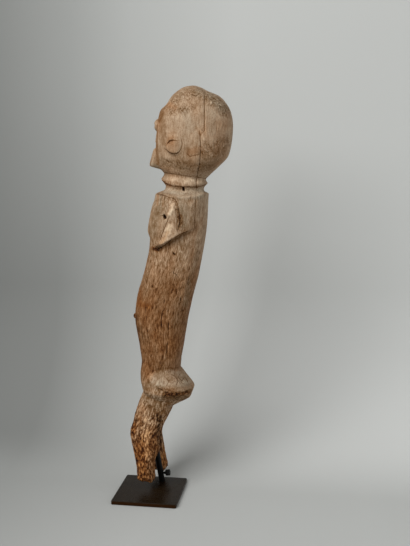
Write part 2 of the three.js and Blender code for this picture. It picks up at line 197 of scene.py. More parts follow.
@dataclass(frozen=True)
class Viewpoint:
    """The camera of the view."""

    place_mm: Triple = (1077.451, 244.152, 493.337)
    turn_deg: float = 98.218
    tilt_deg: float = 7.158
    focal_px: float = 720.0
    frame_px: Pair = (410.0, 546.0)
    sensor_mm: float = 36.0
    clip_m: Pair = (0.05, 20.0)

    def axes(self) -> Array:
        """Works out the camera's directions.

        Returns:
            Its right, up and forward directions, one row each.
        """
        turn, tilt = math.radians(self.turn_deg), math.radians(self.tilt_deg)
        level = np.array([-math.sin(turn), math.cos(turn), 0.0])
        right = np.cross(level, [0.0, 0.0, 1.0])
        forward = level * math.cos(tilt) - np.array([0.0, 0.0, math.sin(tilt)])
        return np.array([right, np.cross(right, forward), forward])

    def project(self, points: Array) -> Array:
        """Finds where points show in the frame.

        Args:
            points: Points in millimetres, one row each.

        Returns:
            Across and down in frame pixels, and the distance in millimetres.
        """
        seen = (points - np.array(self.place_mm)) @ self.axes().T
        across = self.frame_px[0] / 2.0 + self.focal_px * seen[:, 0] / seen[:, 2]
        down = self.frame_px[1] / 2.0 - self.focal_px * seen[:, 1] / seen[:, 2]
        return np.stack([across, down, seen[:, 2]], axis=1)

    def facing(self, points: Array, normals: Array) -> Array:
        """Tells how far each surface point faces the camera, from 0 to 1.

        Args:
            points: Points in millimetres, one row each.
            normals: Their outward unit normals.

        Returns:
            One where the surface faces the camera squarely, zero from edge-on.
        """
        way = np.array(self.place_mm) - points
        way /= np.linalg.norm(way, axis=1, keepdims=True)
        return np.clip((way * normals).sum(axis=1), 0.0, 1.0)

    def build(self) -> Object:
        """Makes the camera and gives it to the scene.

        Returns:
            The camera.
        """
        data = bpy.data.cameras.new("view_camera")
        data.sensor_width = self.sensor_mm
        data.lens = self.focal_px / self.frame_px[1] * self.sensor_mm
        data.clip_start, data.clip_end = self.clip_m
        camera = MeshWork.place("view_camera", data)
        right, up, forward = self.axes()
        turn = Matrix([right, up, -forward]).transposed().to_4x4()
        camera.matrix_world = Matrix.Translation(Vector(self.place_mm) * MM) @ turn
        bpy.context.scene.camera = camera
        return camera


class MeshWork:
    """Small steps that every new mesh goes through."""

    @staticmethod
    def place(name: str, data: bpy.types.ID) -> Object:
        """Makes an object at the origin and links it to the scene.

        Args:
            name: The object's name.
            data: Its mesh, light or camera.

        Returns:
            The new object.
        """
        obj = bpy.data.objects.new(name, data)
        bpy.context.scene.collection.objects.link(obj)
        return obj

    @classmethod
    def make(cls, name: str, points_mm: Array, faces: Sequence[Sequence[int]]) -> Object:
        """Makes an object at the origin from points in millimetres.

        Args:
            name: The object's name.
            points_mm: Its points, one row each.
            faces: Its faces, as lists of point numbers.

        Returns:
            The new object.
        """
        mesh = bpy.data.meshes.new(name)
        mesh.from_pydata((points_mm * MM).tolist(), [], faces)
        mesh.validate()
        return cls.place(name, mesh)

    @staticmethod
    def read(mesh: Mesh) -> tuple[Array, Array]:
        """Reads a mesh.

        Args:
            mesh: The mesh to read.

        Returns:
            Its points in millimetres and their outward unit normals, one row each.
        """
        points, normals = np.empty((2, len(mesh.vertices) * 3), np.float32)
        mesh.vertices.foreach_get("co", points)
        mesh.vertex_normals.foreach_get("vector", normals)
        return points.reshape(-1, 3).astype(float) / MM, normals.reshape(-1, 3).astype(float)

    @staticmethod
    def write(mesh: Mesh, points_mm: Array) -> None:
        """Puts points in millimetres back into a mesh, one row for each of its points."""
        mesh.vertices.foreach_set("co", (points_mm * MM).astype(np.float32).ravel())
        mesh.update()

    @staticmethod
    def mask(mesh: Mesh, name: str, values: Array) -> None:
        """Stores a value at each point.

        Args:
            mesh: The mesh.
            name: The attribute's name.
            values: One number or one row of three a point.
        """
        kind, slot = ("FLOAT", "value") if values.ndim == 1 else ("FLOAT_VECTOR", "vector")
        layer = mesh.attributes.new(name, kind, "POINT")
        layer.data.foreach_set(slot, values.astype(np.float32).ravel())

    @staticmethod
    def settle(obj: Object) -> None:
        """Applies every modifier of an object to its mesh.

        Args:
            obj: The object, which keeps its name.
        """
        graph = bpy.context.evaluated_depsgraph_get()
        done = bpy.data.meshes.new_from_object(obj.evaluated_get(graph))
        old = obj.data
        obj.modifiers.clear()
        obj.data = done
        done.name = old.name
        bpy.data.meshes.remove(old)

    @classmethod
    def tube(cls, name: str, grid: Array) -> Object:
        """Skins rings that run counter-clockwise into a closed tube: quads between the rings,
        and a fan of faces over each end.

        Args:
            name: The object's name.
            grid: Ring, side and coordinate, in millimetres.

        Returns:
            The closed object.
        """
        rows, sides = grid.shape[:2]
        ends = np.stack([grid[0].mean(axis=0), grid[-1].mean(axis=0)])
        points = np.concatenate([grid.reshape(-1, 3), ends])
        row, side = np.meshgrid(np.arange(rows - 1), np.arange(sides), indexing="ij")
        first, after = row * sides + side, row * sides + (side + 1) % sides
        quads = np.stack([first, after, after + sides, first + sides], axis=-1)
        faces = quads.reshape(-1, 4).tolist()
        low, high, top = rows * sides, rows * sides + 1, (rows - 1) * sides
        faces += [[low, (s + 1) % sides, s] for s in range(sides)]
        faces += [[high, top + s, top + (s + 1) % sides] for s in range(sides)]
        return cls.make(name, points, faces)

    @classmethod
    def ball(cls, name: str, centre: Sequence[float], size: Sequence[float]) -> Object:
        """An ellipsoid: a unit ball's rings of latitude, stretched and moved.

        Args:
            name: The object's name.
            centre: Its centre in millimetres.
            size: Its three half sizes in millimetres.

        Returns:
            The closed object.
        """
        rings, sides, off_pole = 28, 40, 0.08
        pole = math.pi / 2 - off_pole
        lift = np.linspace(-pole, pole, rings)[:, None]
        angle = np.linspace(0.0, 2 * math.pi, sides, endpoint=False)[None, :]
        unit = np.stack([
            np.cos(lift) * np.cos(angle), np.cos(lift) * np.sin(angle), np.sin(lift) + 0 * angle,
        ], axis=-1)
        return cls.tube(name, unit * np.array(size) + np.array(centre))

    @classmethod
    def join(cls, name: str, parts: Sequence[Object]) -> Object:
        """Puts several meshes into one object.

        Args:
            name: The new object's name.
            parts: The objects to join, which are removed.

        Returns:
            The joined object.
        """
        work = bmesh.new()
        for part in parts:
            work.from_mesh(part.data)
        mesh = bpy.data.meshes.new(name)
        work.to_mesh(mesh)
        work.free()
        for part in parts:
            old = part.data
            bpy.data.objects.remove(part)
            bpy.data.meshes.remove(old)
        return cls.place(name, mesh)

    @staticmethod
    def cut_plane(obj: Object, place: Sequence[float], normal: Sequence[float]) -> None:
        """Cuts away the side of a closed mesh that a plane's normal points to, and closes it.

        Args:
            obj: The object to cut.
            place: A point of the plane in millimetres.
            normal: The direction of the side that goes.
        """
        work = bmesh.new()
        work.from_mesh(obj.data)
        done = bmesh.ops.bisect_plane(
            work, geom=[*work.verts, *work.edges, *work.faces], plane_co=Vector(place) * MM,
            plane_no=Vector(normal), clear_outer=True,
        )
        rim = [item for item in done["geom_cut"] if isinstance(item, bmesh.types.BMEdge)]
        bmesh.ops.edgenet_fill(work, edges=rim)
        bmesh.ops.recalc_face_normals(work, faces=work.faces)
        work.to_mesh(obj.data)
        work.free()


class Side(Enum):
    """The figure's own left, towards +X, and its right."""

    LEFT = 1
    RIGHT = -1


def stations(columns: int, *rows: Sequence[float]) -> Array:
    """Makes a table of stations, whose short rows end in zeros.

    Args:
        columns: How many columns it has.
        *rows: The stations.

    Returns:
        The table.
    """
    return np.array([(*row, *[0] * (columns - len(row))) for row in rows], float)


# The carving's stations, from the leg ends to the crown. A body station is level, front, back,
# half width, squareness, slope towards the back, droop at the sides, and 1 where the edge is
# crisp. A leg station is level, centre to the side, front, back, half width and squareness.
TRUNK = stations(
    8,
    (94, -19, 2, 6.5, 2.2, 0, 0, 1), (103, -21, 9, 13, 2.3), (116, -18, 30, 25, 2.4),
    (124, -14, 35, 32, 2.5), (138, -11, 62.2, 35, 1.9, 0, 0, 1),
    (152.5, -10.8, 67.5, 50, 2.7, 0, 0, 1), (167, -14.5, 56, 44, 2.8, 0, -3.5),
    (180, -14.8, 45, 38.5, 2.8, 0, -8, 1), (200, -12, 47, 38, 2.8, 0, 0, 1),
    (224, -15.3, 52, 38.5, 2.6), (269, -21.2, 60.3, 41.5, 2.6), (296, -18, 66.5, 42.5, 2.6),
    (345, -3.5, 79, 43, 2.7), (377, 4, 85, 43, 2.7), (410, 6.5, 90, 43.5, 2.7, 0, 1),
    (440, 11.5, 92.2, 45, 2.7, 0, 4), (460, 15.6, 93, 46.5, 2.6, 0, 5, 1),
    (464, 28.8, 86.5, 31, 2.2, 0.03, 2, 1), (470, 29.8, 86.5, 29.5, 2.1, 0.06, 5, 1),
    (478, 22.7, 92.5, 35.5, 2.1, 0.09, 7, 1), (485, 28.5, 88.5, 31, 2.1, 0.13, 0, 1),
    (494, 31, 86, 28, 2.1, 0.13, 0, 1),
)
SHOULDERS = stations(
    8,
    (362, 4, 78, 44.5, 2.8), (385, 4, 82.5, 48.5, 2.8), (406, 2.5, 87, 49.5, 2.8, 0, 1),
    (429, 7, 91, 49.5, 2.8, 0, 3), (449, 12, 92, 48.7, 2.8, 0, 4.5),
    (460, 17, 90.5, 44.5, 2.7, 0, 5.5, 1),
)
HEAD = stations(
    8,
    (485.5, 27.5, 90, 32.5, 2.1, 0.13, 0, 1), (493, 21, 98, 38, 2.2, 0.1),
    (503, 16, 110.5, 43, 2.3, 0.05), (514, 12, 123, 46, 2.3), (530, 9.5, 127.8, 47.8, 2.3),
    (550, 9.5, 130, 48.3, 2.3), (566, 12, 130, 47.8, 2.25), (578, 18.6, 127.5, 45.5, 2.2),
    (589, 31.2, 122.3, 42.5, 2.15), (600, 38.5, 112.5, 36.5, 2.1), (608.5, 48, 94.3, 28.5, 2.1),
    (614, 56.5, 84, 18, 2.1), (617, 68, 75, 4, 2),
)
LEFT_LEG = stations(
    6,
    (0, 26.5, -9, 0, 5, 2.4), (2, 26.5, -14, 6, 9.5, 3), (5.5, 27, -18.5, 7.6, 15.5, 3),
    (14, 27, -20.5, 6.9, 17.4, 2.4), (31, 27, -22, 7, 17.4, 2.4),
    (41, 27.2, -23.9, 8.8, 17.3, 2.4), (51, 27.5, -25.8, 13.8, 17.2, 2.4),
    (70, 28, -29.3, 14.6, 16.8, 2.4), (84, 27.8, -31.2, 15.4, 17, 2.4),
    (100, 26.4, -26.5, 23.7, 18.8, 2.4), (116, 26.2, -22.3, 31.7, 20, 2.4),
    (132, 26.5, -16.8, 34, 20.2, 2.4), (150, 26, -9.5, 42, 19, 2.4),
)
RIGHT_LEG = stations(
    6,
    (1.5, -27, -6, 16, 14, 3.3), (3.5, -27, -8.8, 16.8, 16.2, 3.2),
    (14, -26.5, -11, 15, 17.4, 2.6), (31, -25, -15, 12.8, 17.4, 2.4),
    (50, -23, -21, 10.5, 17.2, 2.4), (70, -20.5, -27.6, 9.5, 16.8, 2.4),
    (84, -18.5, -30.5, 14.2, 17, 2.4), (100, -15, -26.5, 22.7, 18.8, 2.4),
    (116, -13.2, -22, 30.2, 20, 2.4), (132, -12.5, -16.8, 36.5, 20.2, 2.4),
    (150, -12, -9.5, 42, 19, 2.4),
)


@dataclass
class Carving:
    """The carved form, laid out by its stations and by the places of its features."""

    row_step: float = 1.9
    sides: int = 168
    leg_sides: int = 84
    round_sides: int = 64
    face_steps: int = 12
    face_plane: float = 19.6
    face_rake: float = 0.1
    face_blend: float = 2.5
    face_root: float = 16.0
    face_middle: float = 33.0
    eye_spread: float = 20.0
    eye_level: float = 558.5
    eye_size: Triple = (11.5, 6.4, 9.6)
    eye_sink: float = 0.5
    eye_slit: Triple = (17.0, 3.8, 1.8)
    nose: tuple[Triple, ...] = (
        (532, 0.5, 8), (535, 6.7, 8.2), (547, 6.4, 6), (574, 0.5, 4),
    )
    mouth: tuple[Triple, ...] = (
        (495.5, -6, 22), (499.7, 9.2, 26), (503, 9.8, 27), (512, 8, 28), (522, 6, 27),
        (525.2, 5.2, 25), (526.7, -3, 22),
    )
    mouth_squareness: float = 3.0
    mouth_slit_at: Pair = (512.0, 8.0)
    mouth_slit: Triple = (42.0, 3.5, 2.2)
    slit_rim: Pair = (0.35, 0.95)
    slit_end: Pair = (0.44, 0.5)
    slit_behind: float = 2.0
    side_on: float = 0.3
    ear_level: float = 527.5
    ear_back: float = 51.0
    ear_radius: float = 11.4
    ear_side: float = 49.7
    ear_root: float = 14.0
    ear_turn: float = 0.2
    ear_flare: float = 0.8
    ear_bevel: Pair = (0.9, 0.7)
    ear_skin: float = 8.0
    ear_hollow: Triple = (2.6, 5.5, 3.75)
    ear_hollow_at: Pair = (-4.5, 5.5)
    cleft_at: Pair = (70.0, 149.0)
    cleft: Triple = (4.0, 11.0, 26.0)
    hip_top: float = 188.0
    hip_front_half: float = 40.0
    hip_front: Pair = (-10.0, 28.0)
    chest_half: float = 8.0
    chest_blend: float = 26.0
    chest_sink: float = 0.16
    undercut_tip: Pair = (20.5, 380.0)
    undercut_slopes: Pair = (0.5, -1.7)
    stump_front: float = 14.0
    stump_back: float = 50.0
    stump_low: float = 384.0
    stump_high: float = 450.0
    stump_proud: float = 3.4
    stump_blend: float = 16.0
    navel: Triple = (4.0, -20.8, 269.0)
    navel_radius: float = 5.0
    bore_room: float = 0.4
    bore_below: float = 30.0
    grain_gap: Pair = (140.0, 200.0)
    voxel: float = 1.61

    @staticmethod
    def lean(level: Array) -> Array:
        """The middle line's drift along X: a quarter of a sine wave of the height."""
        share = np.clip(level, 0.0, None) / FIGURE_HEIGHT
        return LEAN_AT_FEET + LEAN_REACH * np.sin(math.pi / 2 * share ** LEAN_EASE)

    def rows(self, table: Array, crisp: int | None) -> Array:
        """Cubic interpolation of every column along the table's own length, which is measured
        over its first four columns. The curve breaks at crisp stations.

        Args:
            table: Stations, one a row.
            crisp: The column that marks crisp stations, or None.

        Returns:
            Evenly spaced rows of the same columns.
        """
        columns = table.shape[1] if crisp is None else crisp
        values = table[:, :columns]
        lengths = np.linalg.norm(np.diff(table[:, :4], axis=0), axis=1)
        steep = np.diff(values, axis=0) / lengths[:, None]
        before, after = lengths[:-1, None], lengths[1:, None]
        inner = (steep[:-1] * after + steep[1:] * before) / (before + after)
        coming = np.concatenate([steep[:1], inner, steep[-1:]])
        going = coming.copy()
        if crisp is not None:
            sharp = table[:, crisp] == 1
            sharp[[0, -1]] = False
            coming[sharp] = steep[np.flatnonzero(sharp) - 1]
            going[sharp] = steep[np.flatnonzero(sharp)]
        made = []
        for i, length in enumerate(lengths):
            t = np.linspace(0, 1, max(1, round(length / self.row_step)), endpoint=False)[:, None]
            towards = 3 * t ** 2 - 2 * t ** 3
            bend_in = (t ** 3 - 2 * t ** 2 + t) * going[i] * length
            bend_out = (t ** 3 - t ** 2) * coming[i + 1] * length
            made.append((1 - towards) * values[i] + towards * values[i + 1] + bend_in + bend_out)
        return np.concatenate([*made, values[-1:]])

    @staticmethod
    def rings(rows: Array, centre_x: Array, sides: int) -> Array:
        """Rounded sections: a superellipse whose power is 2 over the squareness, tipped by the
        slope towards the back and drooping at the sides by the square of the share across.

        Args:
            rows: Level, front, back, half width, squareness, slope and droop.
            centre_x: The middle of each section along X.
            sides: Points around each section.

        Returns:
            Ring, side and coordinate.
        """
        level, front, back, half, square, slope, droop = [rows[:, c, None] for c in range(7)]
        angle = np.linspace(0, 2 * math.pi, sides, endpoint=False)[None, :]
        cosine, sine = np.cos(angle), np.sin(angle)
        across = np.sign(cosine) * np.abs(cosine) ** (2 / square)
        along = np.sign(sine) * np.abs(sine) ** (2 / square)
        depth = (back - front) / 2
        x = centre_x[:, None] + half * across
        y = (front + back) / 2 + depth * along
        z = level - slope * depth * along - droop * across ** 2
        return np.stack([x, y, z], axis=-1)

    def body_grid(self, table: Array) -> Array:
        """Sections of a body table round the leaning middle line: ring, side, coordinate."""
        rows = self.rows(table, 7)
        return self.rings(rows, self.lean(rows[:, 0]), self.sides)

    def trunk_form(self) -> Object:
        """The trunk, whose hips only widen behind the thighs: the share of the width beyond
        the front's half width is let in from the front of the hips to their middle.

        Returns:
            The closed trunk.
        """
        grid = self.body_grid(TRUNK)
        x, y, z = grid[..., 0], grid[..., 1], grid[..., 2]
        middle = self.lean(z)
        aside = np.abs(x - middle)
        narrowed = np.minimum(1.0, self.hip_front_half / np.maximum(aside, 1.0))
        kept = ease(y, *self.hip_front)
        share = narrowed * (1 - kept) + kept
        grid[..., 0] = np.where(z > self.hip_top, x, middle + (x - middle) * share)
        return MeshWork.tube("trunk", grid)

    def shoulder_form(self) -> Object:
        """The shoulder masses, sunk at the middle, with a proud stump on each side and a
        V-shaped undercut made by two plane cuts.

        Returns:
            The closed shoulders.
        """
        grid = self.body_grid(SHOULDERS)
        centre = (grid[..., 1].max(axis=1) + grid[..., 1].min(axis=1))[:, None] / 2
        across = grid[..., 0] - self.lean(grid[..., 2])
        reach = ease(np.abs(across), self.chest_half, self.chest_half + self.chest_blend)
        grid[..., 1] += (centre - grid[..., 1]) * self.chest_sink * (1 - reach)
        y, z, blend = grid[..., 1], grid[..., 2], self.stump_blend
        deep = ease(y, self.stump_front - blend, self.stump_front)
        deep = deep * (1 - ease(y, self.stump_back, self.stump_back + blend))
        high = ease(z, self.stump_low - blend, self.stump_low)
        high = high * (1 - ease(z, self.stump_high - blend, self.stump_high))
        grid[..., 0] += np.sign(across) * self.stump_proud * deep * high
        form = MeshWork.tube("shoulders", grid)
        for slope in self.undercut_slopes:
            MeshWork.cut_plane(form, (0.0, *self.undercut_tip), (0.0, slope, -1.0))
        return form

    def face_at(self, level: Array) -> Array:
        """How far forward, along Y, the flat cut of the face stands at a level."""
        return self.face_plane + self.face_rake * (level - self.ear_level)

    def head_form(self) -> Object:
        """The head, whose front is cut flat: a soft maximum of its depth and the face plane.

        Returns:
            The closed head.
        """
        grid = self.body_grid(HEAD)
        over = self.face_at(grid[..., 2]) - grid[..., 1]
        grid[..., 1] += (over + np.sqrt(over ** 2 + self.face_blend ** 2)) / 2
        return MeshWork.tube("head", grid)

    def leg_form(self, name: str, table: Array) -> Object:
        """One leg, from its own stations.

        Args:
            name: The object's name.
            table: Leg stations.

        Returns:
            The closed leg.
        """
        rows = self.rows(table, None)
        flat = np.zeros(len(rows))
        columns = [rows[:, 0], rows[:, 2], rows[:, 3], rows[:, 4], rows[:, 5], flat, flat]
        grid = self.rings(np.stack(columns, axis=1), rows[:, 1], self.leg_sides)
        return MeshWork.tube(name, grid)

    def on_face(self, name: str, steps: Sequence[Triple], square: float) -> Object:
        """A form that stands on the face, straight between its steps.

        Args:
            name: The object's name.
            steps: Level, reach forward of the face, and half width.
            square: The squareness of its sections.

        Returns:
            The closed form.
        """
        table = np.array(steps, float)
        place = np.linspace(0, len(table) - 1, self.face_steps * len(table))
        numbers = np.arange(len(table))
        level, reach, half = [np.interp(place, numbers, column) for column in table.T]
        face = self.face_at(level)
        none = np.zeros(len(level))
        columns = [level, face - reach, face + self.face_root, half, none + square, none, none]
        middle = np.full(len(level), self.face_middle)
        return MeshWork.tube(name, self.rings(np.stack(columns, axis=1), middle, self.round_sides))

    def ear_form(self, side: Side) -> Object:
        """A round disc of an ear: rings of a short cylinder, turned so that it stands off
        towards the back.

        Args:
            side: The side it is on.

        Returns:
            The closed disc.
        """
        angle = np.linspace(0, 2 * math.pi, self.round_sides, endpoint=False)[None, :]
        bevel_in, bevel_down = self.ear_bevel
        radius = self.ear_radius + np.array([self.ear_flare, 0.0, -bevel_down])[:, None]
        reach = np.array([-self.ear_root, -bevel_in, 0.0])[:, None]
        x, y = reach + 0 * angle, radius * np.cos(angle)
        turned_x = x * math.cos(self.ear_turn) - y * math.sin(self.ear_turn)
        turned_y = x * math.sin(self.ear_turn) + y * math.cos(self.ear_turn)
        middle = float(self.lean(np.array(self.ear_level)))
        grid = np.stack([
            middle + side.value * (self.ear_side + turned_x),
            self.ear_back + turned_y,
            self.ear_level + radius * np.sin(angle) + 0 * reach,
        ], axis=-1)
        return MeshWork.tube("ear", grid if side is Side.LEFT else grid[:, ::-1])

    def eye_form(self, side: Side) -> Object:
        """The round lid of one eye.

        Args:
            side: The side it is on.

        Returns:
            The closed ball.
        """
        front = float(self.face_at(np.array(self.eye_level))) + self.eye_sink
        centre = (self.face_middle + side.value * self.eye_spread, front, self.eye_level)
        return MeshWork.ball("eye", centre, self.eye_size)

    def build(self) -> Object:
        """Joins all the forms and remakes them as one even skin of small quads.

        Returns:
            The carved figure.
        """
        across, front, level = self.navel
        radius = self.navel_radius
        navel = (float(self.lean(np.array(level))) + across, front, level)
        forms = [
            self.trunk_form(), self.shoulder_form(), self.head_form(),
            self.leg_form("left_leg", LEFT_LEG), self.leg_form("right_leg", RIGHT_LEG),
            self.on_face("nose", self.nose, 2.0),
            self.on_face("mouth", self.mouth, self.mouth_squareness),
            MeshWork.ball("navel", navel, (radius, radius, radius)),
        ]
        for side in Side:
            forms += [self.ear_form(side), self.eye_form(side)]
        body = MeshWork.join("carved_figure", forms)
        points, _ = MeshWork.read(body.data)
        MeshWork.write(body.data, points + FIGURE_OFFSET)
        remesh = body.modifiers.new("even_skin", "REMESH")
        remesh.mode = "VOXEL"
        remesh.voxel_size = self.voxel * MM
        MeshWork.settle(body)
        return body

    def cut_details(
        self, body: Object, rod: tuple[Array, Array, float], radius: float, bore: float,
    ) -> None:
        """Sinks the slits of the eyes and mouth, the hollows of the ears, the cleft between the
        buttocks and the bore for the rod into the skin.

        A slit moves the points of its band straight back by its depth, eased over its rim. A
        hollow moves points inwards by one less the square of their share of its radius. The
        cleft moves every point inside an ellipsoid to the ellipsoid's front. The bore moves the
        points within its radius of the rod's axis up along it.

        Args:
            body: The carved figure.
            rod: The rod's foot, direction and length to the crotch.
            radius: The rod's radius.
            bore: How deep the rod goes into the wood.
        """
        world, normals = MeshWork.read(body.data)
        local = world - FIGURE_OFFSET
        x, y, z = local.T.copy()
        forward = normals[:, 1] < self.side_on
        slits = [(self.face_middle, *self.mouth_slit_at, self.mouth_slit)]
        lid = self.eye_size[1] - self.eye_sink
        for side in Side:
            across = self.face_middle + side.value * self.eye_spread
            slits.append((across, self.eye_level, lid, self.eye_slit))
        rim, end = np.array(self.slit_rim), np.array(self.slit_end)
        for across, level, reach, (wide, deep, tall) in slits:
            band = 1 - ease(np.abs(z - level), *(tall * rim))
            band = band * (1 - ease(np.abs(x - across), *(wide * end)))
            near = y < self.face_at(z) - reach + deep + self.slit_behind
            local[:, 1] += deep * band * near * forward

        aside = x - self.lean(z)
        behind, above = self.ear_hollow_at
        deep, long, tall = self.ear_hollow
        share = ((y - self.ear_back - behind) / long) ** 2
        share = share + ((z - self.ear_level - above) / tall) ** 2
        dip = deep * np.clip(1 - share, 0, 1) * (np.abs(aside) > self.ear_side - self.ear_skin)
        local[:, 0] -= np.sign(aside) * dip

        back, level = self.cleft_at
        wide, deep, tall = self.cleft
        room = 1 - (aside / wide) ** 2 - ((z - level) / tall) ** 2
        floor = back - deep * np.sqrt(np.clip(room, 0, 1))
        inside = (room > 0) & (y > floor) & (y < back + deep)
        local[:, 1] = np.where(inside, floor, local[:, 1])

        foot, way, reach = rod
        world = local + FIGURE_OFFSET
        along = (world - foot) @ way
        off = np.linalg.norm(world - foot - along[:, None] * way, axis=1)
        inside = (off < radius + self.bore_room) & (along < reach + bore)
        inside &= along > reach - self.bore_below
        end = reach + bore + self.bore_room
        world += np.where(inside, end - along, 0.0)[:, None] * way
        MeshWork.write(body.data, world)

    def straighten(self, local: Array) -> Array:
        """Takes the figure's lean and bend out of its points, so that the grain runs along Z:
        each level's middle, drawn through the stations, is moved to the axis.

        Args:
            local: Points of the carving.

        Returns:
            The straightened points.
        """
        legs = LEFT_LEG[LEFT_LEG[:, 0] < self.grain_gap[0]]
        trunk = TRUNK[TRUNK[:, 0] >= self.grain_gap[1]]
        levels = np.concatenate([legs[:, 0], trunk[:, 0]])
        middles = np.concatenate([(legs[:, 2] + legs[:, 3]) / 2, (trunk[:, 1] + trunk[:, 2]) / 2])
        straight = local.copy()
        straight[:, 0] -= self.lean(local[:, 2])
        straight[:, 1] -= np.interp(local[:, 2], levels, middles)
        return straight


@dataclass(frozen=True)
class Effect:
    """What a mark does to the wood: shifts of tone and hue, roughness, and how deep it sinks."""

    tone: float
    hue: float
    rough: float
    sunk_mm: float


class WearAndPaintedShade(Enum):
    """The kinds of mark on the wood: what age has left, and painted shade in holes and in some
    SHADE marks.
    """

    CRACK = Effect(-0.46, 0.0, 0.0, 0.7)
    GROOVE = Effect(-0.26, 0.1, 0.0, 0.35)
    # HOLE sinks a pit and paints it near black: painted shade inside the hole.
    HOLE = Effect(-1.10, 0.0, 0.0, 5.0)
    # SHADE darkens the wood; the rows marked below as painted shade use it for shade under
    # undercuts and between parts.
    SHADE = Effect(-0.15, 0.0, 0.0, 0.0)
    PALE = Effect(0.20, 0.0, 0.0, -0.2)
    RAW = Effect(0.15, 0.35, 0.2, 0.4)
    RUST = Effect(-0.04, 0.9, 0.0, 0.1)
    GREY = Effect(0.0, -0.8, 0.0, 0.0)
    ROUGH = Effect(-0.03, 0.0, 1.0, 0.3)


@dataclass(frozen=True)
class Mark:
    """One mark, laid along a line that is given by frame pixels of the view.

    The line is x and y of each corner in turn, and its pixels are carried to the wood that
    shows there. width is its half width in pixels, and soft is the share of it over which it
    fades. A crack or groove is a thin line that the finish draws; the others are patches.
    """

    kind: WearAndPaintedShade
    width: float
    line: tuple[float, ...]
    strength: float = 1.0
    soft: float = 0.55
    ragged: float = 0.35


# One row of a table is a mark: its kind, half width, line, strength, softness and raggedness
CRACK, GROOVE, HOLE, SHADE, PALE, RAW, RUST, GREY, ROUGH = WearAndPaintedShade

HEAD_MARKS = (
    (CRACK, 0.42, (204.4, 95, 204.6, 112, 204.4, 130.7), 0.8),
    (CRACK, 0.45, (199.4, 130.7, 200.4, 142, 200.9, 150, 199.8, 163, 197.7, 174), 0.85),
    (GROOVE, 0.45, (204.4, 130.7, 201.5, 134, 199.9, 138), 0.7),
    (GROOVE, 0.4, (216.2, 112, 216.4, 128.6), 0.5),
    (GREY, 8, (186, 113, 190, 128), 0.45, 0.8),
    (GREY, 6.5, (210.5, 113, 211, 131), 0.5, 0.7),
    (ROUGH, 8.5, (170, 106, 178, 98, 190, 93, 203, 92), 0.7, 0.8),
    (ROUGH, 9, (208, 98, 219, 103, 227, 112), 0.9, 0.8),
    (ROUGH, 7, (172, 112, 186, 109, 197, 106), 0.6, 0.9),
    (GREY, 8, (200, 92, 213, 97, 225, 108), 0.7, 0.8),
    (ROUGH, 11, (206, 150, 218, 148, 226, 142), 0.8, 0.8),
    (ROUGH, 7, (164, 163, 180, 166, 196, 168, 210, 168), 0.8, 0.8),
    (RUST, 4.5, (169, 104, 174, 107), 0.5, 0.8),
    (PALE, 3.6, (169, 103, 172, 107), 0.5, 0.8),
    (RUST, 2.4, (158, 122, 156.6, 140, 157.2, 152, 158.5, 164), 0.3),
    (SHADE, 1.8, (157, 126, 156.4, 145, 158.2, 164)),
    (SHADE, 6, (161, 112, 163, 128, 164, 145), 0.9, 0.9),
    # Painted shadow: a dark arc round the back and lower rim of the ear's proud disc.
    (GROOVE, 0.5, (
        181.2, 139.2, 182.2, 143.5, 181.4, 148, 179.6, 151.4, 177, 153.6, 173.4, 154,
        169.4, 152.7, 165.9, 149.6,
    ), 1.1, 0.6, 0.15),
    (GROOVE, 0.8, (168, 143, 170, 141, 173, 140.4, 176, 140.4), 1.3),
    (PALE, 1.2, (175.2, 140, 175.8, 140.2)),
    (PALE, 1.7, (167, 136, 172, 134.6, 178, 135.6), 0.5, 0.8),
    (PALE, 2.2, (162.5, 146.5, 168.5, 147.5), 0.4, 0.8),
    (GROOVE, 0.45, (166.4, 160.4, 169, 162.4, 171, 162.6, 174, 164.4), 0.8),
    (GROOVE, 0.5, (187.4, 153.8, 190, 156.8, 194, 155.6, 199, 154.4), 0.8),
    (GROOVE, 0.6, (192.6, 106.6, 193.4, 107.2)),
    (GROOVE, 0.45, (192.6, 94.4, 196, 95.6, 199.4, 93.8)),
    (GROOVE, 0.6, (213.6, 98, 215.4, 99)),
    (PALE, 1.1, (203.2, 97, 203.8, 97.4), 1.2),
    (PALE, 1.3, (210.6, 103, 211.8, 103), 0.9),
    (PALE, 1, (220, 104.4, 220.6, 104.6), 0.9),
    (PALE, 1.6, (199, 129, 202, 133, 203.4, 139), 0.7),
    (RUST, 3.6, (196, 128, 200, 133), 0.35, 0.8),
    (RUST, 6, (190, 152, 199, 149), 0.35, 0.8),
    (RUST, 10, (222, 124, 222, 140, 216, 150), 0.3, 0.9),
    (SHADE, 9, (204, 162, 214, 164, 222, 154), 0.6, 0.8),
    (GREY, 6, (163, 161, 178, 166, 190, 168), 0.5, 0.8),
    (GREY, 9, (177, 120, 182, 134, 184, 145), 0.3, 0.9),
    (PALE, 9, (178, 114, 184, 126, 186, 140), 0.25, 0.9),
    (SHADE, 4, (176, 90, 167, 99, 162, 110, 160, 120), 0.8, 0.9),
    (GREY, 2.2, (152, 164.4, 158, 166.6), 0.9),
    (SHADE, 1.3, (151.8, 150, 150.4, 160, 150, 165), 0.9),
)

RING_MARKS = (
    (GROOVE, 0.5, (165.7, 172.9, 182, 175.6, 194.5, 177.1, 206, 178.4), 0.8),
    (CRACK, 0.45, (197.4, 176, 196.4, 182, 196.7, 189), 0.9),
    (PALE, 3.4, (166, 178, 182, 180.8, 200, 182), 0.6, 0.7),
    (RUST, 1.8, (161.6, 180.4, 167, 184.6, 170, 185.8), 0.6),
    (GROOVE, 0.55, (
        162, 181, 167.2, 185, 174, 186.6, 182, 187, 196.8, 187.4, 207, 184.6,
    ), 1.2, 0.6, 0.5),
    (PALE, 3.4, (165, 190.6, 182, 191.6, 202, 190.4), 0.6, 0.7),
    (GREY, 4.5, (165, 190.6, 182, 191.6, 202, 190.4), 0.7, 0.7),
    (HOLE, 1.35, (183, 188.4, 183.4, 189.6), 1, 0.4, 0.1),
)

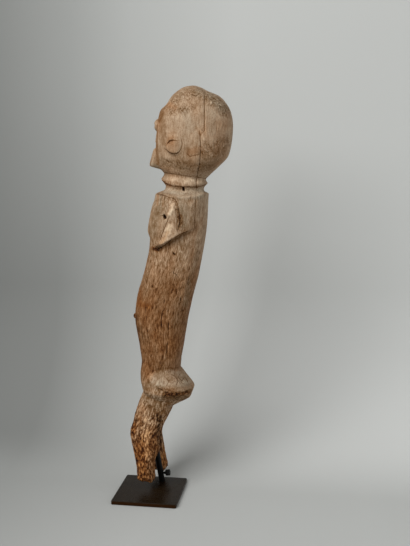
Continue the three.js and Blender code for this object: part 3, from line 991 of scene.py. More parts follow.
SHOULDER_MARKS = (
    # Painted shadow: drawn as a crack, this dark line follows the back edge of the shoulder's
    # proud stump.
    (CRACK, 0.45, (
        158, 193.6, 164.4, 195, 170, 197.6, 175, 199.2, 177, 203, 178.6, 210, 180, 218,
        179.4, 225, 178, 230,
    ), 0.75, 0.6, 0.6),
    (PALE, 4.2, (171, 203, 172.6, 214), 0.5, 0.9),
    (PALE, 2.6, (173.4, 203.6, 172.6, 209, 169.6, 213.4), 1.5, 0.8),
    (RUST, 2.6, (173.4, 203.6, 172.6, 209), 0.5, 0.8),
    (PALE, 4.4, (170, 227, 164.6, 238, 160, 244), 1.1, 0.6),
    (ROUGH, 3.4, (160, 246, 156, 249), 1, 0.8),
    (ROUGH, 4, (175, 200, 178, 214, 180, 226), 0.8, 0.8),
    (RAW, 4.8, (174, 224, 171, 231, 166, 239), 0.3, 0.7),
    (GREY, 7.5, (161, 199, 156, 215, 153, 232), 0.5, 0.8),
    (SHADE, 3.6, (162, 210, 158, 214), 0.6, 0.9),
    (RUST, 1.4, (157.8, 195, 157.4, 205)),
    (RUST, 1.4, (163, 197, 162.6, 206), 0.7),
    (RUST, 1.8, (170.6, 205, 167.6, 214), 0.5),
    (RUST, 3, (168, 232, 161, 243), 0.35, 0.9),
    (GROOVE, 0.4, (161, 194.4, 160.4, 204), 0.9),
    (GROOVE, 0.4, (164.6, 195.4, 164, 204.6), 0.8),
    (GROOVE, 0.4, (169, 198, 168.4, 206), 0.7),
    (HOLE, 1.6, (164.2, 216, 164.9, 217.6), 1, 0.45, 0.3),
    (GROOVE, 0.5, (164, 216.3, 161.8, 215.6), 1.1),
    (CRACK, 0.42, (168.9, 217.4, 165.7, 225, 163, 232, 160, 240), 0.85),
    (RUST, 2.6, (153.4, 247, 156, 249.6), 0.8),
    (SHADE, 2, (153, 249, 157, 249.6), 1.6),
    (SHADE, 3, (180.4, 216.8, 181.2, 222.6), 1.1),
    (RUST, 3, (180.4, 216.8, 181.2, 222.6), 0.4),
    (PALE, 3.6, (173, 193.4, 186, 196.6, 201, 195), 0.7, 0.8),
    (GREY, 5, (173, 193.4, 186, 197.6, 201, 196), 0.6, 0.8),
    (PALE, 7, (188, 205, 186, 222), 0.4, 0.9),
    (GREY, 6, (186, 203, 184, 226), 0.8, 0.9),
    (GREY, 4, (180, 200, 181, 212), 0.8, 0.9),
    (RUST, 1.6, (176.4, 203, 177.6, 210, 178, 217), 0.5, 0.9),
    (GROOVE, 0.35, (195.9, 193, 195.6, 212, 195, 228), 0.9),
    # Painted shade under the shoulders' undercut: a soft dark band, and a dark line along its
    # edge.
    (SHADE, 2.4, (191, 232.2, 182, 235, 174, 240, 166, 246.2, 159, 250.4), 1.2, 0.9, 0.15),
    (GROOVE, 0.5, (188, 231.4, 180.6, 234, 172.6, 239, 165, 245, 157, 249.6), 0.9, 0.7, 0.3),
    (PALE, 1.2, (180, 232, 171.6, 237, 163.6, 243.6), 0.8, 0.7),
    (HOLE, 1, (173.6, 253.8, 174.1, 254.2), 0.6, 0.5, 0.2),
    (PALE, 1.2, (180.3, 251.6, 181, 251.8)),
)

TRUNK_MARKS = (
    (PALE, 1, (155.9, 258, 156.4, 264)),
    (PALE, 1, (155.6, 267, 155.9, 275)),
    (SHADE, 1.5, (152.4, 285.6, 152.8, 286.8), 1.3, 0.7),
    (SHADE, 1.3, (156.5, 288, 156.5, 290), 1.5, 0.7),
    (CRACK, 0.45, (173.6, 272.6, 173.8, 273.2), 1.2),
    (CRACK, 0.45, (176.6, 275, 177, 275.8)),
    (CRACK, 0.45, (189.3, 277.4, 189, 279.6)),
    (CRACK, 0.45, (188.4, 282.6, 188.2, 284)),
    (CRACK, 0.49, (180.8, 298.6, 180.8, 300.2), 1.2),
    (CRACK, 0.45, (182.6, 310, 182.4, 311.6), 1.1),
    (GROOVE, 0.53, (176.4, 291.4, 176.6, 293), 1.2),
    (GROOVE, 0.49, (180, 289.6, 180, 291.4), 1.2),
    (RUST, 5, (140, 303.6, 148, 306.6), 0.35, 0.9),
    (RUST, 3.2, (140.5, 292, 140, 300), 0.3, 0.9),
    (CRACK, 0.4, (162.2, 311, 161.4, 319, 161.2, 325), 0.9),
    (CRACK, 0.4, (168.8, 323.6, 168.2, 329.6), 1.1),
    (CRACK, 0.4, (167.5, 344, 166.6, 353), 0.9),
    (GROOVE, 0.36, (164.2, 302, 164, 310)),
    (GROOVE, 0.36, (145.6, 303.6, 145.3, 312)),
    (GROOVE, 0.45, (141, 328, 142.4, 338), 1.1),
    (GROOVE, 0.45, (147.4, 330, 148, 338)),
    (PALE, 1, (156, 316, 150.4, 325, 148, 331), 0.9),
    (RAW, 4.2, (153.6, 333, 152, 348), 0.5, 0.8),
    (PALE, 5, (186, 262, 181, 300), 0.25, 0.9),
    (GREY, 4, (189, 282, 185, 305), 0.6, 0.8),
    (PALE, 8, (164, 256, 163, 268), 0.5, 0.9),
    (SHADE, 3, (134.6, 316, 137, 332, 139, 346), 0.9, 0.8),
    (SHADE, 1.6, (133, 314.8, 134.4, 316), 1.6, 0.6),
    (RAW, 3, (153, 258, 152, 276), 0.5, 0.9),
    (SHADE, 2, (163, 262, 164, 276), 0.7, 0.9),
    (ROUGH, 4, (172, 285, 168, 300), 0.5, 0.9),
    (ROUGH, 4, (150, 352, 156, 362), 0.5, 0.9),
)

HIP_MARKS = (
    (GREY, 9.5, (160, 378.6, 184, 379), 0.6, 0.3),
    (PALE, 8.6, (155, 378.6, 170, 377.6, 186, 377.6), 0.62, 0.3, 0.12),
    (PALE, 4, (150, 377, 156, 383), 0.5, 0.8),
    (GREY, 5, (150, 384, 160, 390), 0.5, 0.9),
    (SHADE, 1.2, (152, 371.8, 158, 369.4, 168, 368.2, 178, 367.8), 0.7),
    (GROOVE, 0.42, (171.6, 374.6, 176, 376.2), 1.2),
    (GROOVE, 0.42, (176, 377, 178.6, 380.4, 177, 384), 1.3),
    (GROOVE, 0.36, (180, 374, 178, 377, 182, 380), 1.3),
    (GROOVE, 0.36, (166, 378, 169, 381, 167, 385)),
    (GROOVE, 0.36, (186, 378, 188, 382), 1.2),
    (GROOVE, 0.42, (184, 378, 181, 383, 185, 384)),
    (ROUGH, 6, (172, 380, 184, 381), 0.35, 0.8),
    (CRACK, 0.6, (160, 389, 166, 392.6, 176, 394, 181.2, 393, 189, 389.6), 0.45),
    (ROUGH, 6, (160, 392, 176, 398, 187, 395), 1.2, 0.7),
    # Painted shade: the two SHADE rows darken the underside of the buttocks' undercut; the RUST
    # and ROUGH rows are the wood's own dark brown.
    (SHADE, 4.6, (166, 395.6, 180, 398, 190, 393), 0.3, 0.6),
    (RUST, 2.8, (168, 395, 178, 394.8, 190, 393), 0.7, 0.7),
    (SHADE, 2.8, (170, 394.4, 183, 393.6, 191.6, 390.6), 0.65, 0.8),
    (ROUGH, 3.6, (168, 394.6, 182, 394.6, 191, 391.4), 1, 0.7),
    (PALE, 5, (160, 383.6, 172, 385, 184, 383), 0.5, 0.5),
    (GREY, 5, (152, 383.6, 172, 385.4, 186, 383.6), 0.25, 0.5),
)

LEG_MARKS = (
    (RUST, 6.5, (138, 450, 140.5, 464, 142, 479), 0.7, 0.8),
    (SHADE, 2.4, (131.8, 432, 134, 448, 137, 468), 1.2, 0.8),
    (SHADE, 2.6, (137, 402, 133.6, 416, 131.2, 428), 1, 0.8),
    (RUST, 2.6, (137, 402, 133.6, 416, 131.2, 428), 0.4, 0.8),
    (SHADE, 4, (145, 388, 149, 398), 0.6, 0.9),
    (RAW, 2.4, (140, 418, 142, 430, 143, 444), 0.6, 0.9),
    (GREY, 7.5, (148, 401, 157, 406), 0.5, 0.8),
    (GREY, 5, (159, 419, 160, 442), 0.5, 0.8),
    # Painted shade: darkens the near leg's edge beside the far leg, where shade falls between
    # them.
    (SHADE, 3.4, (159, 414, 160, 448), 1.3, 0.8),
    (PALE, 7, (143, 408, 148, 424, 147, 440), 0.7, 0.9),
    (PALE, 5, (147, 436, 148, 458), 0.75, 0.9),
    (RAW, 4, (142, 404, 146, 416, 145, 430), 0.35, 0.9),
    (PALE, 1.6, (161.5, 391, 160.5, 398, 157.4, 408), 0.9, 0.7),
    (PALE, 1.2, (168, 397, 164, 403), 0.8, 0.7),
    (RUST, 3, (134.6, 424, 133, 434), 0.6, 0.8),
    (SHADE, 3.6, (166, 396, 168, 404), 0.8, 0.8),
)

MARKS = tuple(
    Mark(*row)
    for table in (HEAD_MARKS, RING_MARKS, SHOULDER_MARKS, TRUNK_MARKS,
                  HIP_MARKS, LEG_MARKS)
    for row in table
)


@dataclass
class WeatheringAndPaintedLight:
    """Age's wear of the wood, as relief and as colour masks over the carved skin. The masks also
    carry painted light on the back side, and painted shade under undercuts and in holes.

    A zone is a level above the leg ends, the tone there, and the hue: red above 0, grey below.
    The pairs of grain, streaks and roughness are for the trunk and the head, and the pair of an
    effect is its tone and its depth in millimetres.
    """

    view: Viewpoint
    carving: Carving
    zones: tuple[Triple, ...] = (
        (0, 0.45, 0.95), (25, 0.46, 0.90), (70, 0.41, 0.70), (110, 0.46, 0.50),
        (150, 0.56, -0.10), (185, 0.47, 0.50), (225, 0.44, 0.65), (300, 0.46, 0.55),
        (350, 0.53, 0.30), (400, 0.59, -0.05), (440, 0.62, -0.20), (470, 0.64, -0.15),
        (500, 0.60, 0.10), (560, 0.64, 0.05), (617, 0.62, -0.10),
    )
    patches: Layers = Layers(41, (30, 30, 52), 3)
    tint: Layers = Layers(43, (20, 20, 44))
    swell: Layers = Layers(3, (26, 26, 40))
    grain: Layers = Layers(5, (2.4, 2.4, 9.5))
    streaks: Layers = Layers(6, (5, 5, 60))
    eaten: Layers = Layers(7, (2.2, 2.2, 6))
    worn: Layers = Layers(8, (34, 34, 34))
    curl: Layers = Layers(23, (5.5, 5.5, 6.5), 3, 0.6, 3.0)
    torn: Layers = Layers(31, (5, 5, 22))
    rim: Layers = Layers(37, (3.4, 3.4, 3.4))
    drift_seeds: tuple[int, int, int] = (11, 12, 13)
    drift_cell: float = 13.0
    drift_mm: Triple = (2.6, 2.6, 4.6)
    hole_cell: Triple = (3.3, 3.3, 6.0)
    spot_seed: int = 17
    size_seed: int = 19
    neck: Pair = (484, 494)
    thigh: Pair = (104, 150)
    buttock: Pair = (150, 178)
    buttock_front: Pair = (20, 50)
    buttock_share: float = 0.5
    hip_low: Pair = (140, 150)
    hip_high: Pair = (181, 189)
    hip_front: Pair = (5, 25)
    chest: Pair = (370, 410)
    ragged: Pair = (0, 16)
    ragged_top: float = 20.0
    see_through_px: float = 2.0
    see_through_mm: float = 11.0
    line_reach_px: float = 2.6
    foot_ragged_mm: float = 6.0
    torn_fill: Pair = (0.5, 1.3)
    # Painted light: lifts the tone of the side that faces +Y, the back, above the legs, as if more
    # light fell there.
    back_painted_light: float = 0.09
    patch_tone: float = 0.13
    tint_hue: Pair = (0.55, 0.08)
    swell_mm: float = 0.6
    swell_less_on_head: float = 0.4
    grain_tone: Pair = (0.10, 0.03)
    streak_tone: Pair = (0.06, 0.05)
    grain_mm: Pair = (0.30, 0.08)
    eaten_cut: Pair = (2.4, 0.5)
    worn_rim: Pair = (-0.35, 0.25)
    eaten_tone: float = 0.13
    eaten_mm: float = 0.7
    spot_size: Pair = (0.30, 0.20)
    hole_rim: Pair = (0.18, 0.16)
    ridge_rim: Pair = (0.08, 0.42)
    hole_effect: Pair = (0.12, 1.5)
    ridge_effect: Pair = (0.06, 0.4)
    rough_rim: Pair = (0.05, 0.45)
    rough_share: Pair = (0.1, 0.3)
    crease_sharpness: float = 5.0
    curl_effect: Pair = (0.10, 0.5)
    crease_effect: Pair = (0.16, 0.9)
    chest_smooth: float = 0.55
    head_streaks: float = 0.15
    torso_gnarl: Triple = (0.35, 0.4, 3.0)
    turned_away: float = 0.25
    line_core: float = 0.65
    line_bed_px: Pair = (0.3, 1.3)

    def apply(self, body: Object) -> None:
        """Moves the skin's points along their normals, and writes the colour masks.

        Args:
            body: The carved figure.
        """
        mesh = body.data
        world, normals = MeshWork.read(mesh)
        local = world - FIGURE_OFFSET
        level = local[:, 2]
        along = self.carving.straighten(local)
        head = ease(level, *self.neck)
        front = (1 - ease(level, *self.buttock)) * (1 - ease(local[:, 1], *self.buttock_front))
        legs = np.maximum(1 - ease(level, *self.thigh), self.buttock_share * front)
        torso = (1 - head) * (1 - legs)

        tone, hue, rough, sunk = self._zones(along, level, head, legs, torso)
        marks, side, near = self._marks(world, normals)
        tone, hue, rough, sunk = tone + marks[0], hue + marks[1], rough + marks[2], sunk + marks[3]

        # painted light: the side that faces +Y is made lighter
        tone += self.back_painted_light * (1 - legs) * np.clip(normals[:, 1], 0, 1)
        curl = self.curl.over(along)
        crease = np.clip(1 - np.abs(curl) * self.crease_sharpness, 0, 1)
        tone += rough * (self.curl_effect[0] * curl - self.crease_effect[0] * crease)
        sunk += rough * (self.crease_effect[1] * crease - self.curl_effect[1] * curl)

        even, uneven = self.torn_fill
        torn = np.clip(even + uneven * self.torn.over(local), 0, 1)
        lift = (1 - ease(level, *self.ragged)) * torn * self.foot_ragged_mm
        moved = world - normals * sunk[:, None]
        moved[:, 2] += np.where(level < self.ragged_top, lift, 0.0)
        MeshWork.write(mesh, moved)

        hips = ease(level, *self.hip_low) * (1 - ease(level, *self.hip_high))
        hips *= ease(local[:, 1], *self.hip_front)
        smooth = (1 - self.chest_smooth * ease(level, *self.chest)) * (1 - hips)
        most, even, uneven = self.torso_gnarl
        gnarled = rough + most * torso * np.clip(even + uneven * curl, 0, 1)
        masks = {
            "tone": np.clip(tone, 0, 1), "red": np.clip(hue, 0, 1), "grey": np.clip(-hue, 0, 1),
            "streaky": np.clip(torso * smooth + self.head_streaks * head, 0, 1),
            "gnarled": np.clip(gnarled, 0, 1), "porous": legs,
            "line_side": side, "line_near": near, "along_grain": along * MM,
        }
        for name, values in masks.items():
            MeshWork.mask(mesh, name, values)
        LOG.info("skin of %d points, tone %.2f to %.2f", len(tone), tone.min(), tone.max())

    def _zones(
        self, along: Array, level: Array, head: Array, legs: Array, torso: Array,
    ) -> tuple[Array, Array, Array, Array]:
        """The wear that each part of the figure has all round.

        The tone follows the height, with broad patches of noise. The trunk has eroded streaks,
        where noise stretched along the grain falls low. The legs are eaten through by insects:
        a hole lies round each random spot of a stretched lattice, and pale ridges stand between.

        Args:
            along: The points, straightened along the grain.
            level: Their heights above the leg ends.
            head: One on the head.
            legs: One on the legs.
            torso: One on the trunk.

        Returns:
            Tone, hue, roughness and sunk depth.
        """
        def shared(weights: Pair) -> Array:
            """Weights for the trunk and the head, at each point."""
            return weights[0] * torso + weights[1] * head

        heights, tones, hues = np.array(self.zones).T
        patches = self.patches.over(along)
        tone = np.interp(level, heights, tones) + self.patch_tone * patches
        drift, redder = self.tint_hue
        hue = np.interp(level, heights, hues) + (drift * self.tint.over(along) - redder)
        sunk = -self.swell_mm * self.swell.over(along) * (1 - self.swell_less_on_head * head)

        grain, streaks = self.grain.over(along), self.streaks.over(along)
        tone += grain * shared(self.grain_tone) + streaks * shared(self.streak_tone)
        sunk -= grain * shared(self.grain_mm)
        gain, cut = self.eaten_cut
        eaten = np.clip(-self.eaten.over(along) * gain - cut, 0, 1)
        worn = ease(self.worn.over(along), *self.worn_rim) * torso
        tone -= self.eaten_tone * eaten * worn
        sunk += self.eaten_mm * eaten * worn

        broad = along / self.drift_cell
        drifts = np.stack([Noise(seed).smooth(broad) for seed in self.drift_seeds], axis=1)
        warped = along + drifts * np.array(self.drift_mm)
        spots = Noise(self.spot_seed).pits(warped / np.array(self.hole_cell))
        size = self.spot_size[0] + self.spot_size[1] * Noise(self.size_seed).smooth(broad)
        hole = (1 - ease(spots, size - self.hole_rim[0], size + self.hole_rim[1])) * legs
        ridge = ease(spots, size + self.ridge_rim[0], size + self.ridge_rim[1]) * legs
        tone += self.ridge_effect[0] * ridge - self.hole_effect[0] * hole
        sunk += self.hole_effect[1] * hole - self.ridge_effect[1] * ridge

        on_trunk, on_head = self.rough_share
        rough = on_head * ease(patches, *self.rough_rim) * head + on_trunk * torso
        return tone, hue, rough, sunk

    def _reached(self, world: Array, normals: Array, seen: Array) -> Array:
        """Tells which points the view reaches: those that face it and aren't more than a set
        depth behind the nearest point of their small square of the frame.

        Args:
            world: The points in millimetres.
            normals: Their outward unit normals.
            seen: The points in the frame, with their distances.

        Returns:
            One where a point shows, fading to zero where it turns away.
        """
        squares = np.floor(seen[:, :2] / self.see_through_px).astype(int)
        wide = int(self.view.frame_px[0] / self.see_through_px) + 2
        square = squares[:, 1] * wide + squares[:, 0]
        nearest = np.full(square.max() + 1, np.inf)
        np.minimum.at(nearest, square, seen[:, 2])
        shows = seen[:, 2] < nearest[square] + self.see_through_mm
        return shows * ease(self.view.facing(world, normals), 0.0, self.turned_away)

    def _marks(self, world: Array, normals: Array) -> tuple[Array, Array, Array]:
        """Lays the marks on the wood that shows at their pixels.

        A point lies in a patch by its distance, in frame pixels, to the mark's line: fully
        within the width less its soft share, and fading out at the width. Noise makes the rim
        ragged. For the thin lines it gives each point its signed distance to the nearest one,
        in half widths, and how strong that line is near it.

        Args:
            world: The points in millimetres.
            normals: Their outward unit normals.

        Returns:
            Four rows of tone, hue, roughness and sunk depth; the signed distance; the strength.
        """
        seen = self.view.project(world)
        reached = self._reached(world, normals, seen)
        rim = self.rim.over(world)
        total = np.zeros((4, len(world)))
        nearest = np.full(len(world), self.line_reach_px)
        side, near = nearest.copy(), np.zeros(len(world))
        for mark in MARKS:
            away = self._distance(seen[:, :2], np.array(mark.line, float).reshape(-1, 2))
            kind = mark.kind.value
            if mark.kind in (CRACK, GROOVE):
                away = away + rim * mark.ragged
                gap = np.abs(away)
                closer = gap < nearest
                nearest = np.where(closer, gap, nearest)
                side = np.where(closer, away / mark.width, side)
                fade = 1 - ease(gap, self.line_core * self.line_reach_px, self.line_reach_px)
                near = np.where(closer, fade * reached * mark.strength * -kind.tone, near)
                bed = 1 - ease(gap, *self.line_bed_px)
                total[3] += kind.sunk_mm * mark.strength * reached * bed
                continue
            gap = np.abs(away) + rim * mark.ragged * mark.width
            inside = 1 - ease(gap, mark.width * (1 - mark.soft), mark.width)
            shifts = np.array([kind.tone, kind.hue, kind.rough, kind.sunk_mm])
            total += shifts[:, None] * (inside * reached * mark.strength)[None, :]
        return total, side, near

    @staticmethod
    def _distance(points: Array, line: Array) -> Array:
        """The distance from each point to a line of straight stretches.

        Each stretch's nearest place is the share of its length to which the point projects,
        held between its two ends. The sign is that of the cross product of the stretch and the
        way to the point, so it changes across the line.

        Args:
            points: Points in the frame, one row each.
            line: The line's corners, one row each.

        Returns:
            One signed distance a point.
        """
        best = np.full(len(points), np.inf)
        for start, end in zip(line[:-1], line[1:]):
            run, way = end - start, points - start
            share = np.clip(way @ run / max(float(run @ run), 1e-9), 0, 1)
            gap = np.linalg.norm(way - share[:, None] * run, axis=1)
            across = run[0] * way[:, 1] - run[1] * way[:, 0]
            signed = np.where(across < 0, -gap, gap)
            best = np.where(gap < np.abs(best), signed, best)
        return best


class Graph:
    """A node tree, with short ways to add and wire its nodes."""

    def __init__(self, tree: Tree) -> None:
        """Takes the node tree to work on."""
        self.tree = tree

    @classmethod
    def material(cls, name: str) -> tuple["Graph", Node, Material]:
        """Starts a material.

        Args:
            name: Its name.

        Returns:
            Its graph, its shader and the material itself.
        """
        paint = bpy.data.materials.new(name)
        paint.use_nodes = True
        return cls(paint.node_tree), paint.node_tree.nodes["Principled BSDF"], paint

    @classmethod
    def group(
        cls, name: str, numbers: dict[str, float], outputs: Sequence[str],
    ) -> tuple["Graph", Node, Node]:
        """Starts a shared node group that takes a vector and some numbers.

        Args:
            name: Its name.
            numbers: Its number inputs and their defaults.
            outputs: The names of its number outputs.

        Returns:
            Its graph, its input node and its output node.
        """
        tree = bpy.data.node_groups.new(name, "ShaderNodeTree")
        face = tree.interface
        face.new_socket(name="Vector", in_out="INPUT", socket_type="NodeSocketVector")
        for label, default in numbers.items():
            socket = face.new_socket(name=label, in_out="INPUT", socket_type="NodeSocketFloat")
            socket.default_value = default
        for label in outputs:
            face.new_socket(name=label, in_out="OUTPUT", socket_type="NodeSocketFloat")
        return cls(tree), tree.nodes.new("NodeGroupInput"), tree.nodes.new("NodeGroupOutput")

    def feed(self, node: Node, inputs: dict[str | int, object]) -> None:
        """Feeds a node.

        Args:
            node: The node.
            inputs: A socket or a plain value for each input, by its name or number.
        """
        for slot, value in inputs.items():
            if isinstance(value, Socket):
                self.tree.links.new(value, node.inputs[slot])
            else:
                node.inputs[slot].default_value = value

    def add(self, kind: str, inputs: dict[str | int, object], **settings: object) -> Node:
        """Adds a shader node.

        Args:
            kind: Its type, without the first part that all share.
            inputs: A socket or a plain value for each input that is set.
            **settings: The node's own settings.

        Returns:
            The node.
        """
        node = self.tree.nodes.new(f"ShaderNode{kind}")
        for name, value in settings.items():
            setattr(node, name, value)
        self.feed(node, inputs)
        return node

    def math(
        self, operation: str, first: object, second: object = 0.0, clamp: bool = False,
    ) -> Socket:
        """A math node fed by sockets or numbers, held between 0 and 1 if clamp is set."""
        numbers = {0: first, 1: second}
        return self.add("Math", numbers, operation=operation, use_clamp=clamp).outputs[0]

    def times(self, first: object, second: object) -> Socket:
        """The product of two sockets or numbers."""
        return self.math("MULTIPLY", first, second)

    def off(self, value: Socket, middle: float) -> Socket:
        """How far a value is off a middle, either way."""
        return self.math("ABSOLUTE", self.math("SUBTRACT", value, middle))

    def remap(self, value: Socket, low: float, high: float) -> Socket:
        """Maps low to 0 and high to 1, smoothly and held between them."""
        inputs = {"Value": value, "From Min": low, "From Max": high}
        return self.add("MapRange", inputs, interpolation_type="SMOOTHSTEP").outputs["Result"]

    def stretch(self, vector: Socket, scale: Triple) -> Socket:
        """Scales a vector along each of its axes."""
        return self.add("VectorMath", {0: vector, 1: scale}, operation="MULTIPLY").outputs[0]

    def noise(self, vector: Socket, scale: object, detail: float) -> Socket:
        """A noise texture; the scale is a socket or a number, detail counts finer layers."""
        inputs = {"Vector": vector, "Scale": scale, "Detail": detail}
        return self.add("TexNoise", inputs).outputs["Fac"]

    def tint(self, blend: str, share: object, first: object, second: object) -> Socket:
        """Mixes two colours, each a socket or four numbers, by a share from the first."""
        inputs = {0: share, 6: first, 7: second}
        return self.add("Mix", inputs, data_type="RGBA", blend_type=blend).outputs[2]

    def ramp(self, place: Socket, stops: Sequence[tuple[float, Triple]]) -> Socket:
        """Display colours that follow a value.

        Args:
            place: The value's socket.
            stops: Places and colours in rising order, the first at 0 and the last at 1.

        Returns:
            The colour's socket.
        """
        node = self.add("ValToRGB", {"Fac": place})
        made = node.color_ramp.elements
        made[0].color, made[1].color = srgb(*stops[0][1]), srgb(*stops[-1][1])
        for where, colour in stops[1:-1]:
            made.new(where).color = srgb(*colour)
        return node.outputs["Color"]

    def bump(self, height: Socket, distance: float) -> Socket:
        """The normal of a surface that a height of 0 to 1 raises by a distance in metres."""
        return self.add("Bump", {"Distance": distance, "Height": height}).outputs["Normal"]


class SharedEffects:
    """Node groups that several finishes share."""

    def __init__(self) -> None:
        """Builds the groups once."""
        self.mottle = self._mottle()
        self.scuffs = self._scuffs()

    @staticmethod
    def _mottle() -> Tree:
        """Fine speckle and soft blotches: two noises, one eight times as fine as the other.

        Returns:
            The group.
        """
        graph, entry, leave = Graph.group("mottle", {"Scale": 100.0}, ("Blotch", "Speckle"))
        vector, scale = entry.outputs["Vector"], entry.outputs["Scale"]
        blotch = graph.noise(vector, scale, 3.0)
        speckle = graph.noise(vector, graph.times(scale, 8.0), 2.0)
        graph.feed(leave, {
            "Blotch": graph.remap(blotch, 0.3, 0.7), "Speckle": graph.remap(speckle, 0.32, 0.68),
        })
        return graph.tree

    @staticmethod
    def _scuffs() -> Tree:
        """Rubbed patches of fine lines: a stretched noise that shows where a broad one is high.

        Returns:
            The group.
        """
        graph, entry, leave = Graph.group("scuffs", {"Scale": 60.0, "Amount": 0.5}, ("Mask",))
        vector, scale = entry.outputs["Vector"], entry.outputs["Scale"]
        place = graph.remap(graph.noise(vector, scale, 2.0), 0.45, 0.75)
        fine = graph.times(scale, 12.0)
        streak = graph.noise(graph.stretch(vector, (1.0, 0.12, 0.5)), fine, 2.0)
        mask = graph.times(place, graph.remap(streak, 0.55, 0.7))
        mask = graph.math("MULTIPLY", mask, entry.outputs["Amount"], clamp=True)
        graph.feed(leave, {"Mask": mask})
        return graph.tree


@dataclass(frozen=True)
class WoodFinish:
    """Old dry hardwood: tones from dark brown to pale tan, streaked along the grain.

    Each noise runs on the points along the grain, with its own stretch.
    """

    name: str = "weathered_wood"
    tones: tuple[tuple[float, Triple], ...] = (
        (0.00, (30, 13, 3)),
        (0.16, (68, 40, 14)),
        (0.36, (108, 75, 42)),
        (0.56, (141, 112, 84)),
        (0.76, (176, 149, 122)),
        (1.00, (216, 190, 158)),
    )
    red_tint: Triple = (240, 197, 142)
    grey_tint: Triple = (235, 247, 255)
    roughness: float = 0.68
    dark_rougher: float = 0.2
    shine: float = 0.15
    fibre_scale: Triple = (540.0, 540.0, 120.0)
    streak_scale: Triple = (560.0, 560.0, 130.0)
    split_scale: Triple = (46.0, 46.0, 5.0)
    worm_scale: Triple = (370.0, 370.0, 150.0)
    gnarl_scale: Triple = (200.0, 200.0, 130.0)
    mottle_scale: float = 110.0
    dark_range: Pair = (0.46, 0.36)
    split_middle: float = 0.56
    split_range: Pair = (0.012, 0.003)
    crest_range: Pair = (0.50, 0.62)
    hollow_range: Pair = (0.48, 0.38)
    squiggle_range: Pair = (0.030, 0.006)
    drawn_range: Pair = (1.2, 0.35)
    relief: float = 0.0007
    fibre_relief: float = 0.6

    def build(self, effects: SharedEffects) -> Material:
        """Makes the material from the wood's masks.

        Args:
            effects: The shared node groups.

        Returns:
            The material.
        """
        graph, shader, paint = Graph.material(self.name)

        def mask(name: str, output: str = "Fac") -> Socket:
            """Reads one of the skin's attributes."""
            return graph.add("Attribute", {}, attribute_name=name).outputs[output]

        streaky, porous, gnarled = mask("streaky"), mask("porous"), mask("gnarled")
        vector = mask("along_grain", "Vector")
        scales = (self.fibre_scale, self.streak_scale, self.split_scale, self.worm_scale)
        fibre, streak, split, worm = (
            graph.noise(graph.stretch(vector, scale), 1.0, 2.0) for scale in scales
        )
        gnarl = graph.noise(graph.stretch(vector, self.gnarl_scale), 1.0, 3.0)
        mottle = {"Vector": vector, "Scale": self.mottle_scale}
        mottle = graph.add("Group", mottle, node_tree=effects.mottle).outputs
        lean = graph.math("SUBTRACT", fibre, 0.5)
        dark = graph.remap(streak, *self.dark_range)
        split_line = graph.remap(graph.off(split, self.split_middle), *self.split_range)
        crest = graph.remap(worm, *self.crest_range)
        hollow = graph.remap(worm, *self.hollow_range)
        squiggle = graph.remap(graph.off(gnarl, 0.5), *self.squiggle_range)
        # the drawn lines include painted shadow at the ear and along the shoulder stump
        drawn = graph.remap(graph.off(mask("line_side"), 0.0), *self.drawn_range)
        parts = (
            (lean, 0.30),
            (graph.times(lean, streaky), 0.50),
            (graph.math("SUBTRACT", mottle["Speckle"], 0.5), 0.10),
            (graph.math("SUBTRACT", mottle["Blotch"], 0.5), 0.08),
            (graph.times(dark, streaky), -0.15),
            (graph.times(split_line, streaky), -0.12),
            (graph.times(crest, porous), 0.34),
            (graph.times(hollow, porous), -0.24),
            (graph.times(squiggle, gnarled), -0.26),
            (graph.times(squiggle, porous), -0.20),
            (graph.times(drawn, mask("line_near")), -1.0),
        )
        # the tone mask holds the wood's own tones, with painted shade from the marks and painted
        # light on the back
        tone = mask("tone")
        for value, weight in parts:
            tone = graph.math("ADD", tone, graph.times(value, weight))

        colour = graph.ramp(tone, self.tones)
        for name, tint in (("red", self.red_tint), ("grey", self.grey_tint)):
            colour = graph.tint("MULTIPLY", mask(name), colour, srgb(*tint))
        dull = graph.times(graph.math("SUBTRACT", 1.0, tone), self.dark_rougher)
        height = graph.math("ADD", graph.times(fibre, self.fibre_relief), tone)
        graph.feed(shader, {
            "Base Color": colour,
            "Roughness": graph.math("ADD", dull, self.roughness, clamp=True),
            "Specular IOR Level": self.shine,
            "Normal": graph.bump(height, self.relief),
        })
        return paint


